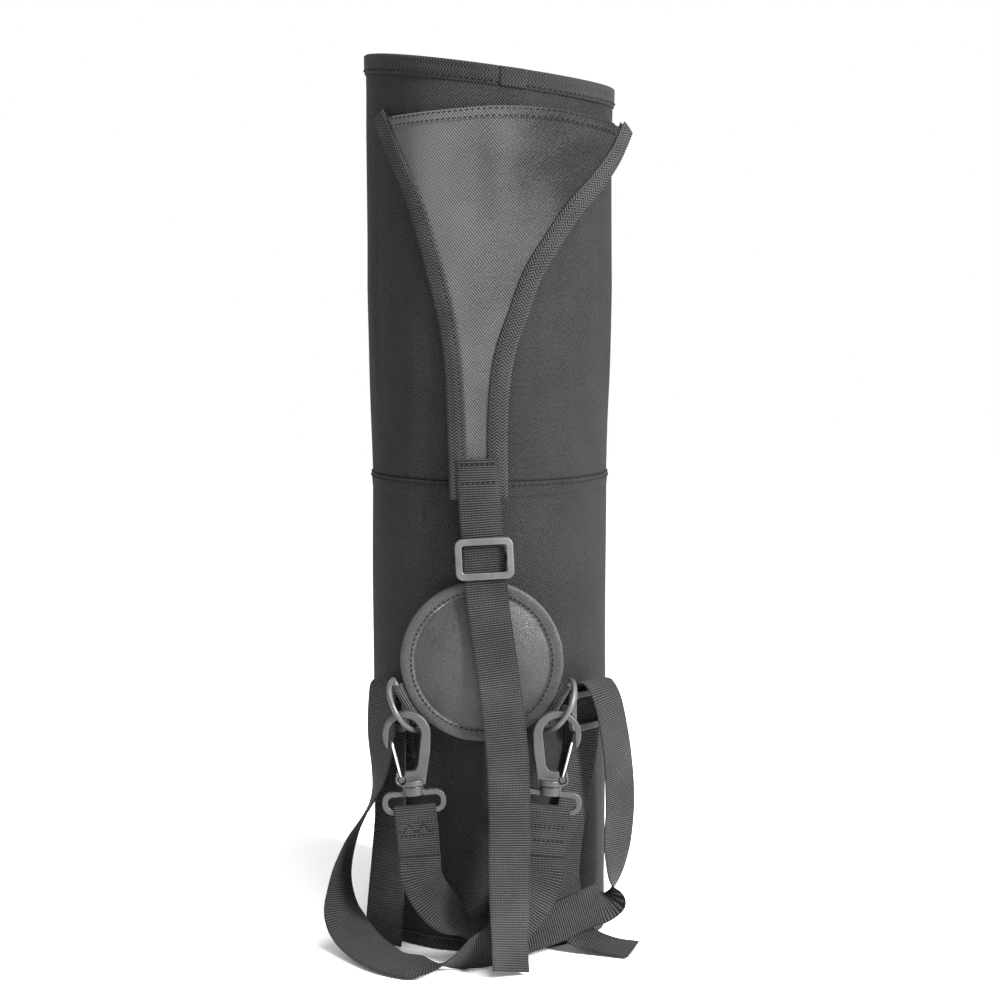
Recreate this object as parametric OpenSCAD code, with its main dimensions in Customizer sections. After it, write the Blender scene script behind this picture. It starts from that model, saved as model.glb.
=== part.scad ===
/* [Tube] */
// Height of the mouth at its middle, mm
tube_height = 529.5; // [500:0.5:560]
// Outer radius of the lower wall, mm
tube_radius = 73; // [72:0.5:73.5]
// Outer radius of the wall at the mouth, mm
mouth_radius = 75.5; // [74.5:0.5:75.5]
// Thickness of the outer fabric, mm
wall_thickness = 1.4; // [1:0.1:1.8]
// Thickness of the stiffener between the fabric and the lining, mm
stiffener_thickness = 1.6; // [1:0.1:2]
// Thickness of the lining, mm
lining_thickness = 0.6; // [0.4:0.1:1]
// Slant of the mouth, higher at the left, degrees
mouth_slant = 7.6; // [0:0.2:9]
// Height of the tape that binds the mouth, mm
mouth_binding_height = 11; // [8:1:14]
// Height of the binding round the base, mm
base_binding_height = 8; // [6:1:10]

/* [Shoulder panel] */
// Width of the tape along the panel's edges, mm
panel_binding_width = 11; // [9:0.5:12]
// Thickness of the panel's front fabric, mm
panel_fabric = 1; // [0.7:0.1:1]

/* [Webbing] */
// Width of the straps, mm
web_width = 25; // [24:0.5:26]
// Thickness of the straps, mm
web_thickness = 1.5; // [1.2:0.1:1.6]

/* [Hub] */
// Outer radius of the leather hub, mm
hub_radius = 48.5; // [47:0.5:49]
// Height of the hub's domed middle, mm
dome_height = 4.5; // [2:0.5:5]
// Thickness of each leather layer, mm
leather = 1.4; // [1:0.1:1.4]

/* [Hardware] */
// Wire radius of the D-rings, mm
ring_wire = 1.6; // [1.3:0.1:1.7]
// Thickness of the snap hooks, mm
hook_thickness = 5.4; // [5:0.5:6.5]
// Wire radius of the hook gates, mm
gate_wire = 0.7; // [0.6:0.05:0.8]
// Width of a tri-glide adjuster, mm
glide_width = 34.4; // [33:0.2:35]
// Height of a tri-glide adjuster, mm
glide_height = 24.4; // [23:0.2:25]

/* [Hidden] */
$fn = 96;
seam_z = 286;
flare_z = 400;
tape = 1;
gap = 0.3;
inner_radius = tube_radius - wall_thickness - stiffener_thickness - lining_thickness;
mouth_inner = mouth_radius - wall_thickness - stiffener_thickness - lining_thickness;
layer_2 = wall_thickness;
layer_3 = wall_thickness + stiffener_thickness;
layer_4 = wall_thickness + stiffener_thickness + lining_thickness;
floor_z = 5;

// The panel lies on a flatter arc than the tube and stands a little off it
arc_x = 8.6;
arc_y = 11.2;
arc_r = 90;
panel_r1 = arc_r + 0.7;
panel_r2 = panel_r1 + panel_fabric;
panel_r3 = panel_r2 + 0.8;
panel_edge = 1.5;
left_edge = [[-68, 500], [-61, 481.5], [-52.5, 461], [-45, 440.5], [-37.5, 414], [-31, 388], [-26.5, 358.5],
    [-24.5, 323.5], [-23.5, 300], [-23, 276]];
right_edge = [[85, 492], [77.5, 476], [65.5, 458], [53.5, 443.5], [42, 426], [30, 405.5], [21.5, 382],
    [15.5, 364.5], [12, 344], [10.5, 317.5], [11, 277.5]];
top_edge = [[70, 498.5], [62, 500.5], [41, 504.5], [20, 506], [0, 506], [-34, 503.5], [-54, 501.5]];

hub_x = -4.2;
hub_z = 179.8;
hub_y = -76.9;
hub_mid = 1.8;
dome_radius = 40;
ring_angle = 30;
ring_reach = 51.5;
ring_half = 16.5;
ring_leg = 2;
ring_lift = 70;
seat = [42.5, -89.4, 141.4];
hook_lean = 5;
collar = [1.5, 0, -33.8];
gate_pivot = [6.2, 3.6];
eye_z = -10.4;
eye_width = 38;
eye_height = 14;
eye_bar = 3.2;

glide_at = [-2.6, -83.75, 242.3];
glide_tilt = [-2.4, -3, 0];
glide_bar = 4;
glide_deep = 3.6;
side_azimuth = 47.5;
side_r = 79.2;
side_z = 146.5;

// Routes: x, y, z and the direction across the webbing
center_route = [[-7, -82.3, 301, 1, 0, 0.05], [-6.3, -82.3, 288, 1, 0, 0.05], [-5.6, -82.3, 276, 1, 0, 0.05],
    [-4.4, -82.9, 260, 1, 0, 0.06], [-2.8, -83.7, 240, 1, 0, 0.08], [-1, -84.8, 219, 1, 0, 0.08],
    [1.5, -87.2, 200, 1, 0, 0.08], [4.6, -89.4, 180, 1, 0, 0.08], [8, -91, 155, 1, 0, 0.08],
    [11.2, -94, 120, 1, 0, 0.04], [12.2, -99, 85, 1, 0.1, 0], [12, -107, 50, 1, 0.3, 0],
    [12.3, -117, 20, 0.85, 0.55, 0], [13, -124, 4.2, 0.8, 0.58, 0.03]];
left_route = [[-41.5, -89.4, 64.9, 0.97, 0, 0.087], [-40.2, -88.9, 51, 0.96, 0.03, 0.16],
    [-34, -87.5, 38, 0.9, 0.12, 0.38], [-24, -87.5, 27, 0.65, 0.6, 0.45],
    [-13, -88.5, 19.5, 0.1, 1, 0.15], [-1, -89, 16, -0.1, 0.75, 0.65], [13, -88, 15.5, -0.05, 0.3, 0.95],
    [30, -84.5, 18, 0, 0, 1], [46, -78.5, 22.5, -0.1, 0, 1], [60, -71.5, 27, 0, 0.05, 1],
    [69, -66, 29.5, 0.05, 0.4, 0.92], [74.5, -60.5, 35, 0.15, 0.92, 0.35], [77, -58, 47, 0.45, 0.88, 0.1],
    [78.2, -57.2, 65, 0.68, 0.72, 0], [79.5, -57.5, 88, 0.72, 0.7, 0],
    [77.9, -60.9, 116.2, 0.69, 0.73, 0], [74.3, -64.1, 140.4, 0.66, 0.75, 0],
    [70.8, -64.4, 155, 0.676, 0.737, 0], [66.5, -61, 163, 0.676, 0.737, 0],
    [62.2, -57, 164, 0.676, 0.737, 0], [58.7, -53.7, 161.3, 0.676, 0.737, 0],
    [58.4, -53.5, 154, 0.676, 0.737, 0], [58.4, -53.5, 145, 0.676, 0.737, 0],
    [58.4, -53.5, 137, 0.676, 0.737, 0], [58.2, -53.8, 126.4, 0.67, 0.74, 0],
    [55, -57, 109.2, 0.7, 0.7, 0], [50.5, -61, 88, 0.73, 0.68, 0], [46.5, -65, 62, 0.75, 0.66, 0],
    [45.5, -67, 42, 0.75, 0.66, 0], [49.5, -67.5, 22, 0.75, 0.62, 0.1], [57, -67.5, 9, 0.6, 0.75, 0.1],
    [73, -71.5, 3.6, 0.32, 0.93, 0.1], [87, -76.5, 3, 0.25, 0.96, 0.1]];
right_route = [[33.1, -89.4, 64.9, 0.97, 0, -0.087], [31.8, -89.4, 51, 0.96, 0, -0.22],
    [25, -92, 36, 0.84, 0, -0.54], [14, -97, 23, 0.6, 0.05, -0.8], [3, -104, 15, 0.4, 0.2, -0.9],
    [-9, -111, 11.8, 0.15, 0.5, -0.85], [-24, -117, 7.2, 0.05, 0.9, -0.4], [-42, -117, 5, 0.1, 0.97, 0.2],
    [-60, -105, 5, 0.4, 0.88, 0.2], [-75.5, -85, 8.5, 0.6, 0.72, 0.35], [-86, -69, 16, 0.62, 0.6, 0.5],
    [-90.5, -61, 28, 0.55, 0.75, 0.35], [-90, -57, 46, 0.43, 0.9, 0.1], [-83, -55, 68, 0.25, 0.97, 0],
    [-72.5, -57.8, 88.2, 0, 1, 0], [-67, -59.9, 108.4, -0.4, 0.9, 0],
    [-65.4, -60.1, 133, -0.676, 0.737, 0], [-64.5, -59.1, 156.5, -0.676, 0.737, 0],
    [-62.2, -57, 162.6, -0.676, 0.737, 0], [-58.8, -53.8, 161.6, -0.676, 0.737, 0],
    [-58.4, -53.5, 154, -0.676, 0.737, 0], [-58.4, -53.5, 145, -0.676, 0.737, 0],
    [-58.4, -53.5, 137, -0.676, 0.737, 0], [-58.7, -53.7, 122.4, -0.65, 0.76, 0],
    [-59.9, -54.3, 91.2, -0.72, 0.69, 0], [-61.5, -56, 60, -0.8, 0.6, 0],
    [-63, -59.5, 30, -0.88, 0.47, 0], [-65, -62, 1.8, -0.93, 0.37, 0]];
rings_per_step = 2;

function unit(v) = v / norm(v);
function place(p) = [p[0], p[1], p[2]];
function across(p) = [p[3], p[4], p[5]];
function at(route, i) = i < 0 ? 2 * route[0] - route[1]
    : i >= len(route) ? 2 * route[len(route) - 1] - route[len(route) - 2] : route[i];
function curve(a, b, c, d, t) =
    0.5 * (2 * b + (c - a) * t + (2 * a - 5 * b + 4 * c - d) * t * t + (3 * b - a - 3 * c + d) * t * t * t);
function spot(route, s) = let (i = min(floor(s), len(route) - 2), t = s - i)
    curve(at(route, i - 1), at(route, i), at(route, i + 1), at(route, i + 2), t);
function heading(route, s) = unit(place(spot(route, min(s + 0.01, len(route) - 1)))
    - place(spot(route, max(s - 0.01, 0))));
function corners(route, s, w, h) = let (
    p = spot(route, s),
    t = heading(route, s),
    u = unit(across(p) - (across(p) * t) * t),
    n = cross(t, u))
    [place(p) - u * w / 2 - n * h / 2, place(p) + u * w / 2 - n * h / 2,
     place(p) + u * w / 2 + n * h / 2, place(p) - u * w / 2 + n * h / 2];

// Webbing that follows a route from step a to step b
module ribbon(route, a, b) {
    steps = (b - a) * rings_per_step;
    points = [for (k = [0:steps]) each corners(route, a + k / rings_per_step, web_width, web_thickness)];
    sides = [for (k = [0:steps - 1], j = [0:3]) let (q = 4 * k + j, r = 4 * k + (j + 1) % 4)
        each j == 2 ? [[q, r, q + 4], [r, r + 4, q + 4]] : [[q, r, r + 4], [q, r + 4, q + 4]]];
    last = 4 * steps;
    ends = [[0, 2, 1], [0, 3, 2], [last, last + 1, last + 2], [last, last + 2, last + 3]];
    polyhedron(points, concat([for (f = sides) [f[2], f[1], f[0]]], [for (f = ends) [f[2], f[1], f[0]]]));
}

// Outer radius of the tube wall at a height
function wall_at(z) = z <= seam_z ? tube_radius : z >= flare_z ? mouth_radius
    : tube_radius + (mouth_radius - tube_radius) * (z - seam_z) / (flare_z - seam_z);

// Tube layer between two depths below the outer surface
module layer(d1, d2, z1, z2) {
    rotate_extrude() polygon([
        [wall_at(z1) - d2, z1], [wall_at(z1) - d1, z1],
        if (z1 < seam_z && z2 > seam_z) [tube_radius - d1, seam_z],
        if (z1 < flare_z && z2 > flare_z) [mouth_radius - d1, flare_z],
        [wall_at(z2) - d1, z2], [wall_at(z2) - d2, z2],
        if (z1 < flare_z && z2 > flare_z) [mouth_radius - d2, flare_z],
        if (z1 < seam_z && z2 > seam_z) [tube_radius - d2, seam_z]]);
}

// Everything above the slanted plane of the mouth, moved down by drop
module above_mouth(drop) {
    translate([0, 0, tube_height - drop]) rotate([0, mouth_slant, 0])
        translate([-150, -150, 0]) cube([300, 300, 120]);
}

module mouth_band(r1, r2, drop, rise) {
    difference() {
        translate([0, 0, tube_height - 60]) difference() {
            cylinder(r = r2, h = 100);
            translate([0, 0, -1]) cylinder(r = r1, h = 102);
        }
        above_mouth(-rise);
        translate([0, 0, tube_height - drop]) rotate([0, mouth_slant, 0])
            translate([-150, -150, -120]) cube([300, 300, 120]);
    }
}

module lower_wall() {
    color("dimgray") layer(0, layer_2, 1.5, seam_z);
}

module upper_wall() {
    color("dimgray") difference() {
        layer(0, layer_2, seam_z, 560);
        above_mouth(0);
    }
}

module mid_seam() {
    color("gray") translate([0, 0, seam_z - 9]) difference() {
        cylinder(r = tube_radius + 0.9, h = 9);
        translate([0, 0, -1]) cylinder(r = tube_radius, h = 11);
    }
}

module back_seam() {
    color("gray") intersection() {
        layer(-0.9, 0, base_binding_height + 0.2, seam_z - 9.2);
        translate([-6, 40, 0]) cube([12, 60, 600]);
    }
}

module upper_back_seam() {
    color("gray") intersection() {
        layer(-0.9, 0, seam_z + 0.2, tube_height - mouth_binding_height - 12);
        translate([-6, 40, 0]) cube([12, 60, 600]);
    }
}

module stiffener() {
    color("black") difference() {
        layer(layer_2, layer_3, floor_z, 560);
        above_mouth(0);
    }
}

module lining() {
    color("darkslategray") difference() {
        layer(layer_3, layer_4, floor_z + 0.6, 560);
        above_mouth(0);
    }
}

module base_panel() {
    color("dimgray") cylinder(r = tube_radius, h = 1.5);
}

module base_board() {
    color("tan") translate([0, 0, 1.5]) cylinder(r = tube_radius - wall_thickness - 0.2, h = floor_z - 1.7);
}

module base_lining() {
    color("darkslategray") translate([0, 0, floor_z]) cylinder(r = inner_radius + 0.55, h = 0.6);
}

module base_binding() {
    color("black") difference() {
        cylinder(r = tube_radius + 1.6, h = base_binding_height);
        translate([0, 0, -1]) cylinder(r = tube_radius, h = base_binding_height + 2);
    }
}

module mouth_binding() {
    color("black") difference() {
        mouth_band(mouth_inner - tape, mouth_radius + tape, mouth_binding_height, tape);
        mouth_band(mouth_inner, mouth_radius, mouth_binding_height + 2, 0);
    }
}

module mouth_binding_lap() {
    color("black") intersection() {
        mouth_band(mouth_radius + tape, mouth_radius + tape + 0.8, mouth_binding_height, tape);
        translate([6, -100, tube_height - 30]) cube([16, 60, 60]);
    }
}

// Shell of the panel's arc
module arc_shell(r1, r2) {
    translate([arc_x, arc_y, 200]) difference() {
        cylinder(r = r2, h = 340, $fn = 180);
        translate([0, 0, -1]) cylinder(r = r1, h = 342, $fn = 180);
    }
}

// Flat shape in x and z, extruded towards the front
module front_cut() {
    rotate([90, 0, 0]) linear_extrude(height = 120) children();
}

function shifted(line, d) = [for (i = [0:len(line) - 1]) let (
    a = line[max(i - 1, 0)],
    b = line[min(i + 1, len(line) - 1)],
    t = (b - a) / norm(b - a))
    line[i] + d * [t[1], -t[0]]];
function backwards(line) = [for (i = [len(line) - 1:-1:0]) line[i]];

module panel_shape(inset) {
    polygon(concat(shifted(backwards(left_edge), inset), [[-34, 503.5], [0, 506], [20, 506], [41, 504.5]],
        shifted(right_edge, inset)));
}

module edge_strip(line, side, width) {
    polygon(concat(line, backwards(shifted(line, side * width))));
}

module shoulder_panel() {
    color("gray") intersection() {
        arc_shell(panel_r1, panel_r2);
        front_cut() panel_shape(panel_edge);
    }
}

module panel_backing() {
    color("dimgray") intersection() {
        arc_shell(arc_r, panel_r1);
        front_cut() panel_shape(panel_edge);
    }
}

module panel_binding(line, side) {
    intersection() {
        arc_shell(panel_r2, panel_r3);
        front_cut() edge_strip(line, side, panel_binding_width);
    }
    intersection() {
        arc_shell(arc_r, panel_r2);
        front_cut() difference() {
            edge_strip(line, side, 4);
            panel_shape(panel_edge);
        }
    }
}

module left_panel_binding() {
    color("black") panel_binding(left_edge, -1);
}

module right_panel_binding() {
    color("black") panel_binding(right_edge, 1);
}

module panel_hem() {
    color("dimgray") intersection() {
        arc_shell(panel_r2, panel_r2 + 0.5);
        front_cut() difference() {
            intersection() {
                panel_shape(panel_edge);
                polygon(concat(top_edge, backwards([for (p = top_edge) p - [0, 7]])));
            }
            edge_strip(left_edge, -1, panel_binding_width);
            edge_strip(right_edge, 1, panel_binding_width);
        }
    }
}

module panel_anchor() {
    color("dimgray") difference() {
        intersection() {
            translate([arc_x, arc_y, 486]) cylinder(r = arc_r - gap, h = 16, $fn = 180);
            translate([-28, -100, 480]) cube([80, 60, 30]);
        }
        translate([0, 0, 480]) cylinder(r = mouth_radius, h = 30);
    }
}

module center_strap() {
    color("gray") ribbon(center_route, 0, 6);
}

module center_strap_tail() {
    color("gray") ribbon(center_route, 6, 13);
}

module round_frame(w, h, r, bar, deep) {
    rotate([90, 0, 0]) linear_extrude(height = deep) difference() {
        rounded(w, h, r);
        rounded(w - 2 * bar, h - 2 * bar, 1.5);
    }
}

module rounded(w, h, r) {
    square([w - 2 * r, h], center = true);
    square([w, h - 2 * r], center = true);
    for (x = [-1, 1], y = [-1, 1]) translate([x * (w / 2 - r), y * (h / 2 - r)]) circle(r = r, $fn = 40);
}

// Tri-glide round a strap at y = 0: outer bars in front, centre bar behind it
module tri_glide(front, back) {
    translate([0, -front, 0]) round_frame(glide_width, glide_height, 4.5, glide_bar, glide_deep);
    for (s = [-1, 1]) translate([s * (glide_width / 2 - glide_bar / 2 - 0.2), back / 2 - front / 2 + 0.4, 0])
        cube([glide_bar - 0.4, front + back + 1.6, 7], center = true);
    translate([0, back, 0]) rotate([0, 90, 0])
        cylinder(r = 1.5, h = glide_width - glide_bar, center = true, $fn = 40);
}

// Webbing folded round a bar at y = 0, with both layers running down behind it
module bar_sleeve(width, r, bar, length) {
    rotate([0, 90, 0]) linear_extrude(height = width, center = true) difference() {
        union() {
            circle(r = r, $fn = 48);
            translate([0, r - 1.7]) square([length, 1.7]);
        }
        circle(r = bar + 0.05, $fn = 48);
    }
}

module center_adjuster() {
    color("darkgray") translate(glide_at) rotate(glide_tilt) tri_glide(1.15, 5.05);
}

module hub_hanger() {
    color("black") intersection() {
        translate([glide_at[0] + 0.3, hub_y - 1.75, glide_at[2] - 0.2]) rotate([0, glide_tilt[1], 0])
            bar_sleeve(web_width, 2.6, 1.6, 27);
        translate([-60, -100, 214]) cube([120, 60, 60]);
    }
}

module on_hub() {
    translate([hub_x, hub_y, hub_z]) rotate([90, 0, 0]) children();
}

module dome(r, h) {
    ball = (r * r + h * h) / (2 * h);
    intersection() {
        translate([0, 0, h - ball]) sphere(r = ball, $fn = 180);
        cylinder(r = r, h = h + 1, $fn = 120);
    }
}

module hub_pockets() {
    translate([glide_at[0] + 1.4, hub_y, 220]) rotate([0, glide_tilt[1], 0])
        cube([web_width + 0.8, hub_mid + 0.6, 40], center = true);
    for (s = [0, 1]) mirror_hub(s) translate([hub_x, hub_y, hub_z]) rotate([0, ring_angle, 0])
        translate([hub_radius - 4, 0, 0]) cube([20, hub_mid + 0.6, web_width + 0.8], center = true);
}

module hub_back() {
    color("dimgray") on_hub() translate([0, 0, -hub_mid / 2 - leather]) cylinder(r = hub_radius, h = leather);
}

module hub_core() {
    color("silver") difference() {
        on_hub() {
            translate([0, 0, -hub_mid / 2]) cylinder(r = hub_radius - 0.5, h = hub_mid);
            translate([0, 0, hub_mid / 2]) dome(dome_radius, dome_height);
        }
        intersection() {
            hub_pockets();
            on_hub() translate([0, 0, -hub_mid / 2]) cylinder(r = hub_radius, h = hub_mid);
        }
    }
}

module hub_front() {
    color("dimgray") on_hub() translate([0, 0, hub_mid / 2]) difference() {
        union() {
            cylinder(r = hub_radius, h = leather);
            dome(dome_radius + leather, dome_height + leather);
        }
        dome(dome_radius, dome_height);
    }
}

// s = 0 keeps the right side, s = 1 gives its mirror image across the hub
module mirror_hub(s) {
    translate([hub_x * s * 2, 0, 0]) mirror([s, 0, 0]) children();
}

// Ring frame: x along the loop, z along the straight bar, at the middle of the bar
module ring_frame(s) {
    mirror_hub(s) translate([hub_x, hub_y, hub_z]) rotate([0, ring_angle, 0])
        translate([ring_reach, 0, 0]) rotate([0, 0, -ring_lift]) children();
}

module d_ring() {
    rotate([90, 0, 0]) {
        translate([ring_leg, 0, 0]) intersection() {
            rotate_extrude() translate([ring_half, 0]) circle(r = ring_wire, $fn = 32);
            translate([0, -30, -5]) cube([40, 60, 10]);
        }
        for (s = [-1, 1]) translate([0, s * ring_half, 0]) rotate([0, 90, 0])
            cylinder(r = ring_wire, h = ring_leg, $fn = 32);
    }
    cylinder(r = ring_wire, h = 2 * ring_half, center = true, $fn = 32);
    for (s = [-1, 1]) translate([0, 0, s * ring_half]) sphere(r = ring_wire, $fn = 32);
}

module ring_tape(s) {
    mirror_hub(s) translate([hub_x, hub_y, hub_z]) rotate([0, ring_angle, 0]) translate([ring_reach, 0, 0])
        linear_extrude(height = web_width, center = true) difference() {
            union() {
                circle(r = ring_wire + 1, $fn = 48);
                translate([-12.5, -hub_mid / 2]) square([12.5, hub_mid]);
            }
            circle(r = ring_wire + gap, $fn = 48);
        }
}

module left_ring_tape() {
    color("black") ring_tape(1);
}

module right_ring_tape() {
    color("black") ring_tape(0);
}

module left_ring() {
    color("silver") ring_frame(1) d_ring();
}

module right_ring() {
    color("silver") ring_frame(0) d_ring();
}

// Hook frame: origin at the middle of the collar, x towards the gate
module hook_frame(s) {
    mirror_hub(s) translate([seat[0] + hub_x, seat[1], seat[2]]) rotate([0, hook_lean, 0])
        translate(collar) children();
}

module hook_outline() {
    difference() {
        union() {
            translate([0.85, 30.6]) circle(r = 14.2, $fn = 90);
            polygon([[-13.3, 30.6], [-12.2, 20], [-7.6, 0], [7.6, 0], [9.6, 5], [9, 8.3], [0.85, 30.6]]);
            translate(gate_pivot) circle(r = 3.7, $fn = 48);
        }
        translate([1.8, 31.2]) circle(r = 9.7, $fn = 72);
        polygon([[-7.9, 31.2], [-6.6, 24], [-4.2, 11.5], [-2.4, 9], [0.5, 8.3], [24, 8.3], [24, 23.2],
            [12.8, 23.2], [12.2, 26.8], [11.5, 31.2]]);
        translate(gate_pivot) circle(r = 2.4, $fn = 40);
        translate(gate_pivot) polygon([[-1.15, 0], [1.15, 0], [1.9, 6], [-2.6, 6]]);
    }
}

module snap_hook() {
    difference() {
        union() {
            rotate([90, 0, 0]) linear_extrude(height = hook_thickness, center = true) hook_outline();
            cylinder(r = 7.6, h = 3.6, $fn = 60);
        }
        translate([0, 0, -1]) cylinder(r = 2.35, h = 3, $fn = 48);
        translate([0, 0, 0.9]) cylinder(r = 3.35, h = 1.9, $fn = 48);
        translate([gate_pivot[0], 0, gate_pivot[1]]) rotate([90, 0, 0])
            cylinder(r = 2.4, h = 20, center = true, $fn = 40);
        rotate([90, 0, 0]) linear_extrude(height = 20, center = true)
            translate(gate_pivot) polygon([[-1.15, 0], [1.15, 0], [1.9, 6], [-2.6, 6]]);
    }
}

module wire_gate() {
    tilt = 9.2;
    translate([gate_pivot[0], 0, gate_pivot[1]]) {
        rotate([90, 0, 0]) cylinder(r = 2, h = 4.6, center = true, $fn = 40);
        rotate([0, tilt, 0]) {
            for (y = [-1.6, 1.6]) translate([0, y, 0]) cylinder(r = gate_wire, h = 21.6, $fn = 24);
            translate([0, 0, 21.6]) rotate([90, 0, 90]) intersection() {
                rotate_extrude() translate([1.6, 0]) circle(r = gate_wire, $fn = 24);
                translate([-5, 0, -2]) cube([10, 5, 4]);
            }
        }
    }
}

module swivel_eye() {
    translate([0, 0, -4]) cylinder(r = 2, h = 5.3, $fn = 48);
    translate([0, 0, 1.25]) cylinder(r = 3, h = 1.2, $fn = 48);
    translate([0, 0, -6]) cylinder(r = 6.2, h = 5.6, $fn = 48);
    translate([0, 1.8, eye_z]) rotate([90, 0, 0]) linear_extrude(height = 3.6) difference() {
        rounded(eye_width, eye_height, 6.5);
        rounded(eye_width - 2 * eye_bar, eye_height - 2 * eye_bar, 3.3);
    }
}

module strap_end() {
    bar_z = eye_z - eye_height / 2 + eye_bar / 2;
    translate([0, 0, bar_z]) rotate([0, 90, 0]) linear_extrude(height = web_width, center = true) difference() {
        union() {
            circle(r = 3.7, $fn = 48);
            translate([0, -1.6]) square([24, 3.2]);
        }
        square([eye_bar + 0.1, 3.7], center = true);
    }
}

module left_hook() {
    color("dimgray") hook_frame(1) snap_hook();
}

module right_hook() {
    color("dimgray") hook_frame(0) snap_hook();
}

module left_gate() {
    color("silver") hook_frame(1) wire_gate();
}

module right_gate() {
    color("silver") hook_frame(0) wire_gate();
}

module left_eye() {
    color("gray") hook_frame(1) swivel_eye();
}

module right_eye() {
    color("gray") hook_frame(0) swivel_eye();
}

module left_strap_end() {
    color("black") hook_frame(1) strap_end();
}

module right_strap_end() {
    color("black") hook_frame(0) strap_end();
}

module on_side(s) {
    rotate([0, 0, s * side_azimuth]) translate([0, -side_r, side_z]) children();
}

module adjuster_tab(s) {
    on_side(s) translate([0, side_r - tube_radius - 2.55, 0]) bar_sleeve(web_width, 2.5, 1.5, 30);
}

module left_adjuster() {
    color("darkgray") on_side(-1) tri_glide(1.05, side_r - tube_radius - 2.55);
}

module right_adjuster() {
    color("darkgray") on_side(1) tri_glide(1.05, side_r - tube_radius - 2.55);
}

module left_adjuster_tab() {
    color("black") adjuster_tab(-1);
}

module right_adjuster_tab() {
    color("black") adjuster_tab(1);
}

module left_strap_front() {
    color("dimgray") ribbon(left_route, 0, 5);
}

module left_strap_turn() {
    color("dimgray") ribbon(left_route, 5, 12);
}

module left_strap_loop() {
    color("dimgray") ribbon(left_route, 12, 19);
}

module left_strap_thread() {
    color("dimgray") ribbon(left_route, 19, 23);
}

module left_strap_tail() {
    color("dimgray") ribbon(left_route, 23, 32);
}

module right_strap_front() {
    color("dimgray") ribbon(right_route, 0, 5);
}

module right_strap_floor() {
    color("dimgray") ribbon(right_route, 5, 11);
}

module right_strap_loop() {
    color("dimgray") ribbon(right_route, 11, 18);
}

module right_strap_thread() {
    color("dimgray") ribbon(right_route, 18, 22);
}

module right_strap_tail() {
    color("dimgray") ribbon(right_route, 22, 27);
}

lower_wall();
upper_wall();
mid_seam();
back_seam();
upper_back_seam();
stiffener();
lining();
base_panel();
base_board();
base_lining();
base_binding();
mouth_binding();
mouth_binding_lap();
panel_anchor();
left_adjuster();
right_adjuster();
left_adjuster_tab();
right_adjuster_tab();
left_strap_front();
left_strap_turn();
left_strap_loop();
left_strap_thread();
left_strap_tail();
right_strap_front();
right_strap_floor();
right_strap_loop();
right_strap_thread();
right_strap_tail();
shoulder_panel();
panel_backing();
left_panel_binding();
right_panel_binding();
panel_hem();
center_strap();
center_strap_tail();
center_adjuster();
hub_hanger();
hub_front();
hub_core();
hub_back();
left_ring_tape();
right_ring_tape();
left_ring();
right_ring();
left_hook();
right_hook();
left_gate();
right_gate();
left_eye();
right_eye();
left_strap_end();
right_strap_end();
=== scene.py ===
from math import asin, cos, exp, pi, radians, sin, sqrt, tan

import bmesh
import bpy
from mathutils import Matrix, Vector, noise


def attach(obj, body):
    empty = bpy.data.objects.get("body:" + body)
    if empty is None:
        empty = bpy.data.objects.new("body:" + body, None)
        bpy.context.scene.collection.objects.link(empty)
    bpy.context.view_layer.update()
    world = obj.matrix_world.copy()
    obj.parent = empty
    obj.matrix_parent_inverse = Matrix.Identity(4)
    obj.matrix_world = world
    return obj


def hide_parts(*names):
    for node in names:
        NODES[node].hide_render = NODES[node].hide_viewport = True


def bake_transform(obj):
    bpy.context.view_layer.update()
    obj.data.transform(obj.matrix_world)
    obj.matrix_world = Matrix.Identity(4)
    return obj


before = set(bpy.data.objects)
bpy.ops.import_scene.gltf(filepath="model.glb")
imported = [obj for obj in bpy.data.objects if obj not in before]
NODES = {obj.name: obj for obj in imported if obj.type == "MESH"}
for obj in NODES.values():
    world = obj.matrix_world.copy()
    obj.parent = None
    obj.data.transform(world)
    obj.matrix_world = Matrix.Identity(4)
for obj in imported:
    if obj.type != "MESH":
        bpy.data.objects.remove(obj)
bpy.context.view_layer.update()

MM = 0.001

# ---- stage and camera
scene = bpy.context.scene
scene.view_settings.view_transform = "Standard"
scene.view_settings.look = "None"
scene.render.film_transparent = False

cam_data = bpy.data.cameras.new("camera")
cam_data.sensor_width = 36
cam_data.lens = 84.24  # reads the photo's perspective at a distance of 1.45 m
cam = bpy.data.objects.new("camera", cam_data)
scene.collection.objects.link(cam)
cam.location = (0.0065, -1.45, 0.4346)
cam.rotation_euler = (radians(90 - 6.58), 0, 0)
scene.camera = cam

world = bpy.data.worlds.new("studio")
scene.world = world
world.use_nodes = True
backdrop = world.node_tree.nodes["Background"]
backdrop.inputs[0].default_value = (1, 1, 1, 1)
backdrop.inputs[1].default_value = 1.0


def area_light(name, at, to, size, power):
    data = bpy.data.lights.new(name, "AREA")
    data.shape = "RECTANGLE"
    data.size, data.size_y = size
    data.energy = power
    lamp = bpy.data.objects.new(name, data)
    scene.collection.objects.link(lamp)
    lamp.location = at
    lamp.rotation_euler = (Vector(to) - Vector(at)).to_track_quat("-Z", "Y").to_euler()


area_light("key", (1.25, -1.15, 1.05), (0.02, 0, 0.30), (0.3, 0.5), 120)
area_light("top", (0.30, -0.55, 1.9), (0, 0, 0.3), (0.7, 0.7), 36)


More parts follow.
